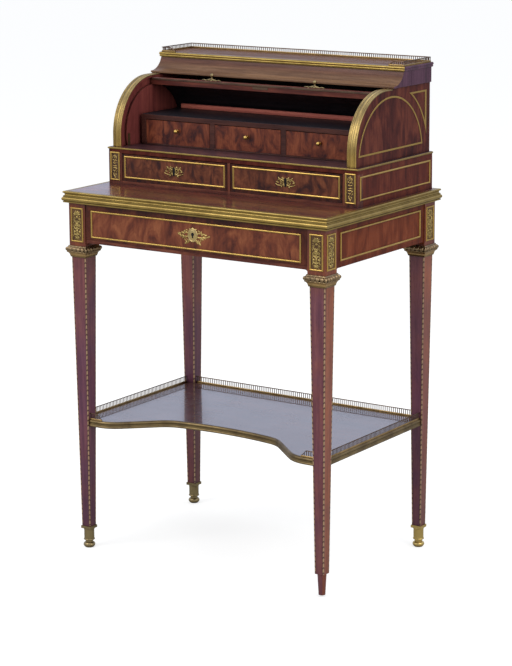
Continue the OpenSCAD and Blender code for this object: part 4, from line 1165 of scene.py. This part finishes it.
def camera():
    """A long lens from the right and a little above; its axis meets the picture above the middle."""
    yaw, pitch, roll = math.radians(33.95), math.radians(10.55), math.radians(0.29)
    place = Vector((2.49086, -3.68630, 1.44631))
    picture_height, axis_row, focal_pixels = 666, 250, 2261.08
    ahead = Vector((-math.sin(yaw) * math.cos(pitch), math.cos(yaw) * math.cos(pitch), -math.sin(pitch)))
    level = Vector((math.cos(yaw), math.sin(yaw), 0))
    down = ahead.cross(level)
    right = level * math.cos(roll) + down * math.sin(roll)
    up = level * math.sin(roll) - down * math.cos(roll)
    turned = Matrix((right, up, -ahead)).transposed()
    lens = bpy.data.cameras.new("camera")
    lens.sensor_width = 36
    lens.lens = focal_pixels * lens.sensor_width / picture_height
    lens.shift_y = (axis_row - picture_height / 2) / picture_height
    lens.clip_start = 0.1
    lens.clip_end = 200
    view = bpy.data.objects.new("camera", lens)
    scene.collection.objects.link(view)
    view.matrix_world = Matrix.Translation(place) @ turned.to_4x4()
    scene.camera = view


camera()


# Studio

def background(nt, colour, strength):
    n = nt.nodes.new("ShaderNodeBackground")
    n.inputs[0].default_value = (*colour, 1)
    n.inputs[1].default_value = strength
    return n.outputs[0]


def choose(nt, ray, otherwise, seen):
    """One shader for a kind of ray and another for the rest."""
    n = nt.nodes.new("ShaderNodeMixShader")
    nt.links.new(ray, n.inputs[0])
    nt.links.new(otherwise, n.inputs[1])
    nt.links.new(seen, n.inputs[2])
    return n.outputs[0]


def studio_world():
    """A cool plain light, a stronger one for gloss to mirror, and white behind the table."""
    world = bpy.data.worlds.new("studio")
    scene.world = world
    world.use_nodes = True
    nt = world.node_tree
    nt.nodes.clear()
    out = nt.nodes.new("ShaderNodeOutputWorld")
    path = nt.nodes.new("ShaderNodeLightPath")
    lit = background(nt, (0.93, 0.96, 1.0), 0.75)
    glossy = background(nt, (0.74, 0.80, 1.0), 1.0)
    seen = background(nt, WHITE, 1.0)
    light = choose(nt, path.outputs["Is Glossy Ray"], lit, glossy)
    nt.links.new(choose(nt, path.outputs["Is Camera Ray"], light, seen), out.inputs[0])


def area(name, loc, target, size, power, colour=WHITE):
    """A square lamp of one size that points at a target."""
    lamp = bpy.data.lights.new(name, "AREA")
    lamp.shape = "RECTANGLE"
    lamp.size = size
    lamp.size_y = size
    lamp.energy = power
    lamp.color = colour
    o = bpy.data.objects.new(name, lamp)
    scene.collection.objects.link(o)
    o.location = loc
    o.rotation_euler = (Vector(target) - Vector(loc)).to_track_quat("-Z", "Y").to_euler()


def white_floor():
    """A grey floor that takes the table's shadow; the camera also sees a glow that makes it white."""
    m, nt, b = new_mat("floor_white")
    b.inputs["Base Color"].default_value = (0.5, 0.5, 0.5, 1)
    b.inputs["Roughness"].default_value = 0.9
    b.inputs["Specular IOR Level"].default_value = 0.0
    glow = nt.nodes.new("ShaderNodeEmission")
    glow.inputs[0].default_value = (*WHITE, 1)
    glow.inputs[1].default_value = 0.62
    glowing = nt.nodes.new("ShaderNodeAddShader")
    path = nt.nodes.new("ShaderNodeLightPath")
    out = next(n for n in nt.nodes if n.type == "OUTPUT_MATERIAL")
    nt.links.new(b.outputs[0], glowing.inputs[0])
    nt.links.new(glow.outputs[0], glowing.inputs[1])
    seen = choose(nt, path.outputs["Is Camera Ray"], b.outputs[0], glowing.outputs[0])
    nt.links.new(seen, out.inputs[0])
    bpy.ops.mesh.primitive_plane_add(size=80, location=(0, 0, 0))
    floor = bpy.context.object
    floor.name = "floor"
    floor.data.materials.append(m)


studio_world()
area("key", (-1.6, -3.4, 3.4), (0, 0, 0.6), 2.6, 85, (1.0, 0.98, 0.95))
area("fill", (3.6, -0.8, 2.4), (0, 0, 0.6), 2.4, 60, (1.0, 0.97, 0.93))
area("top", (0.3, 0.6, 4.2), (0, 0, 0.5), 3.0, 40)
white_floor()

scene.view_settings.view_transform = "Standard"
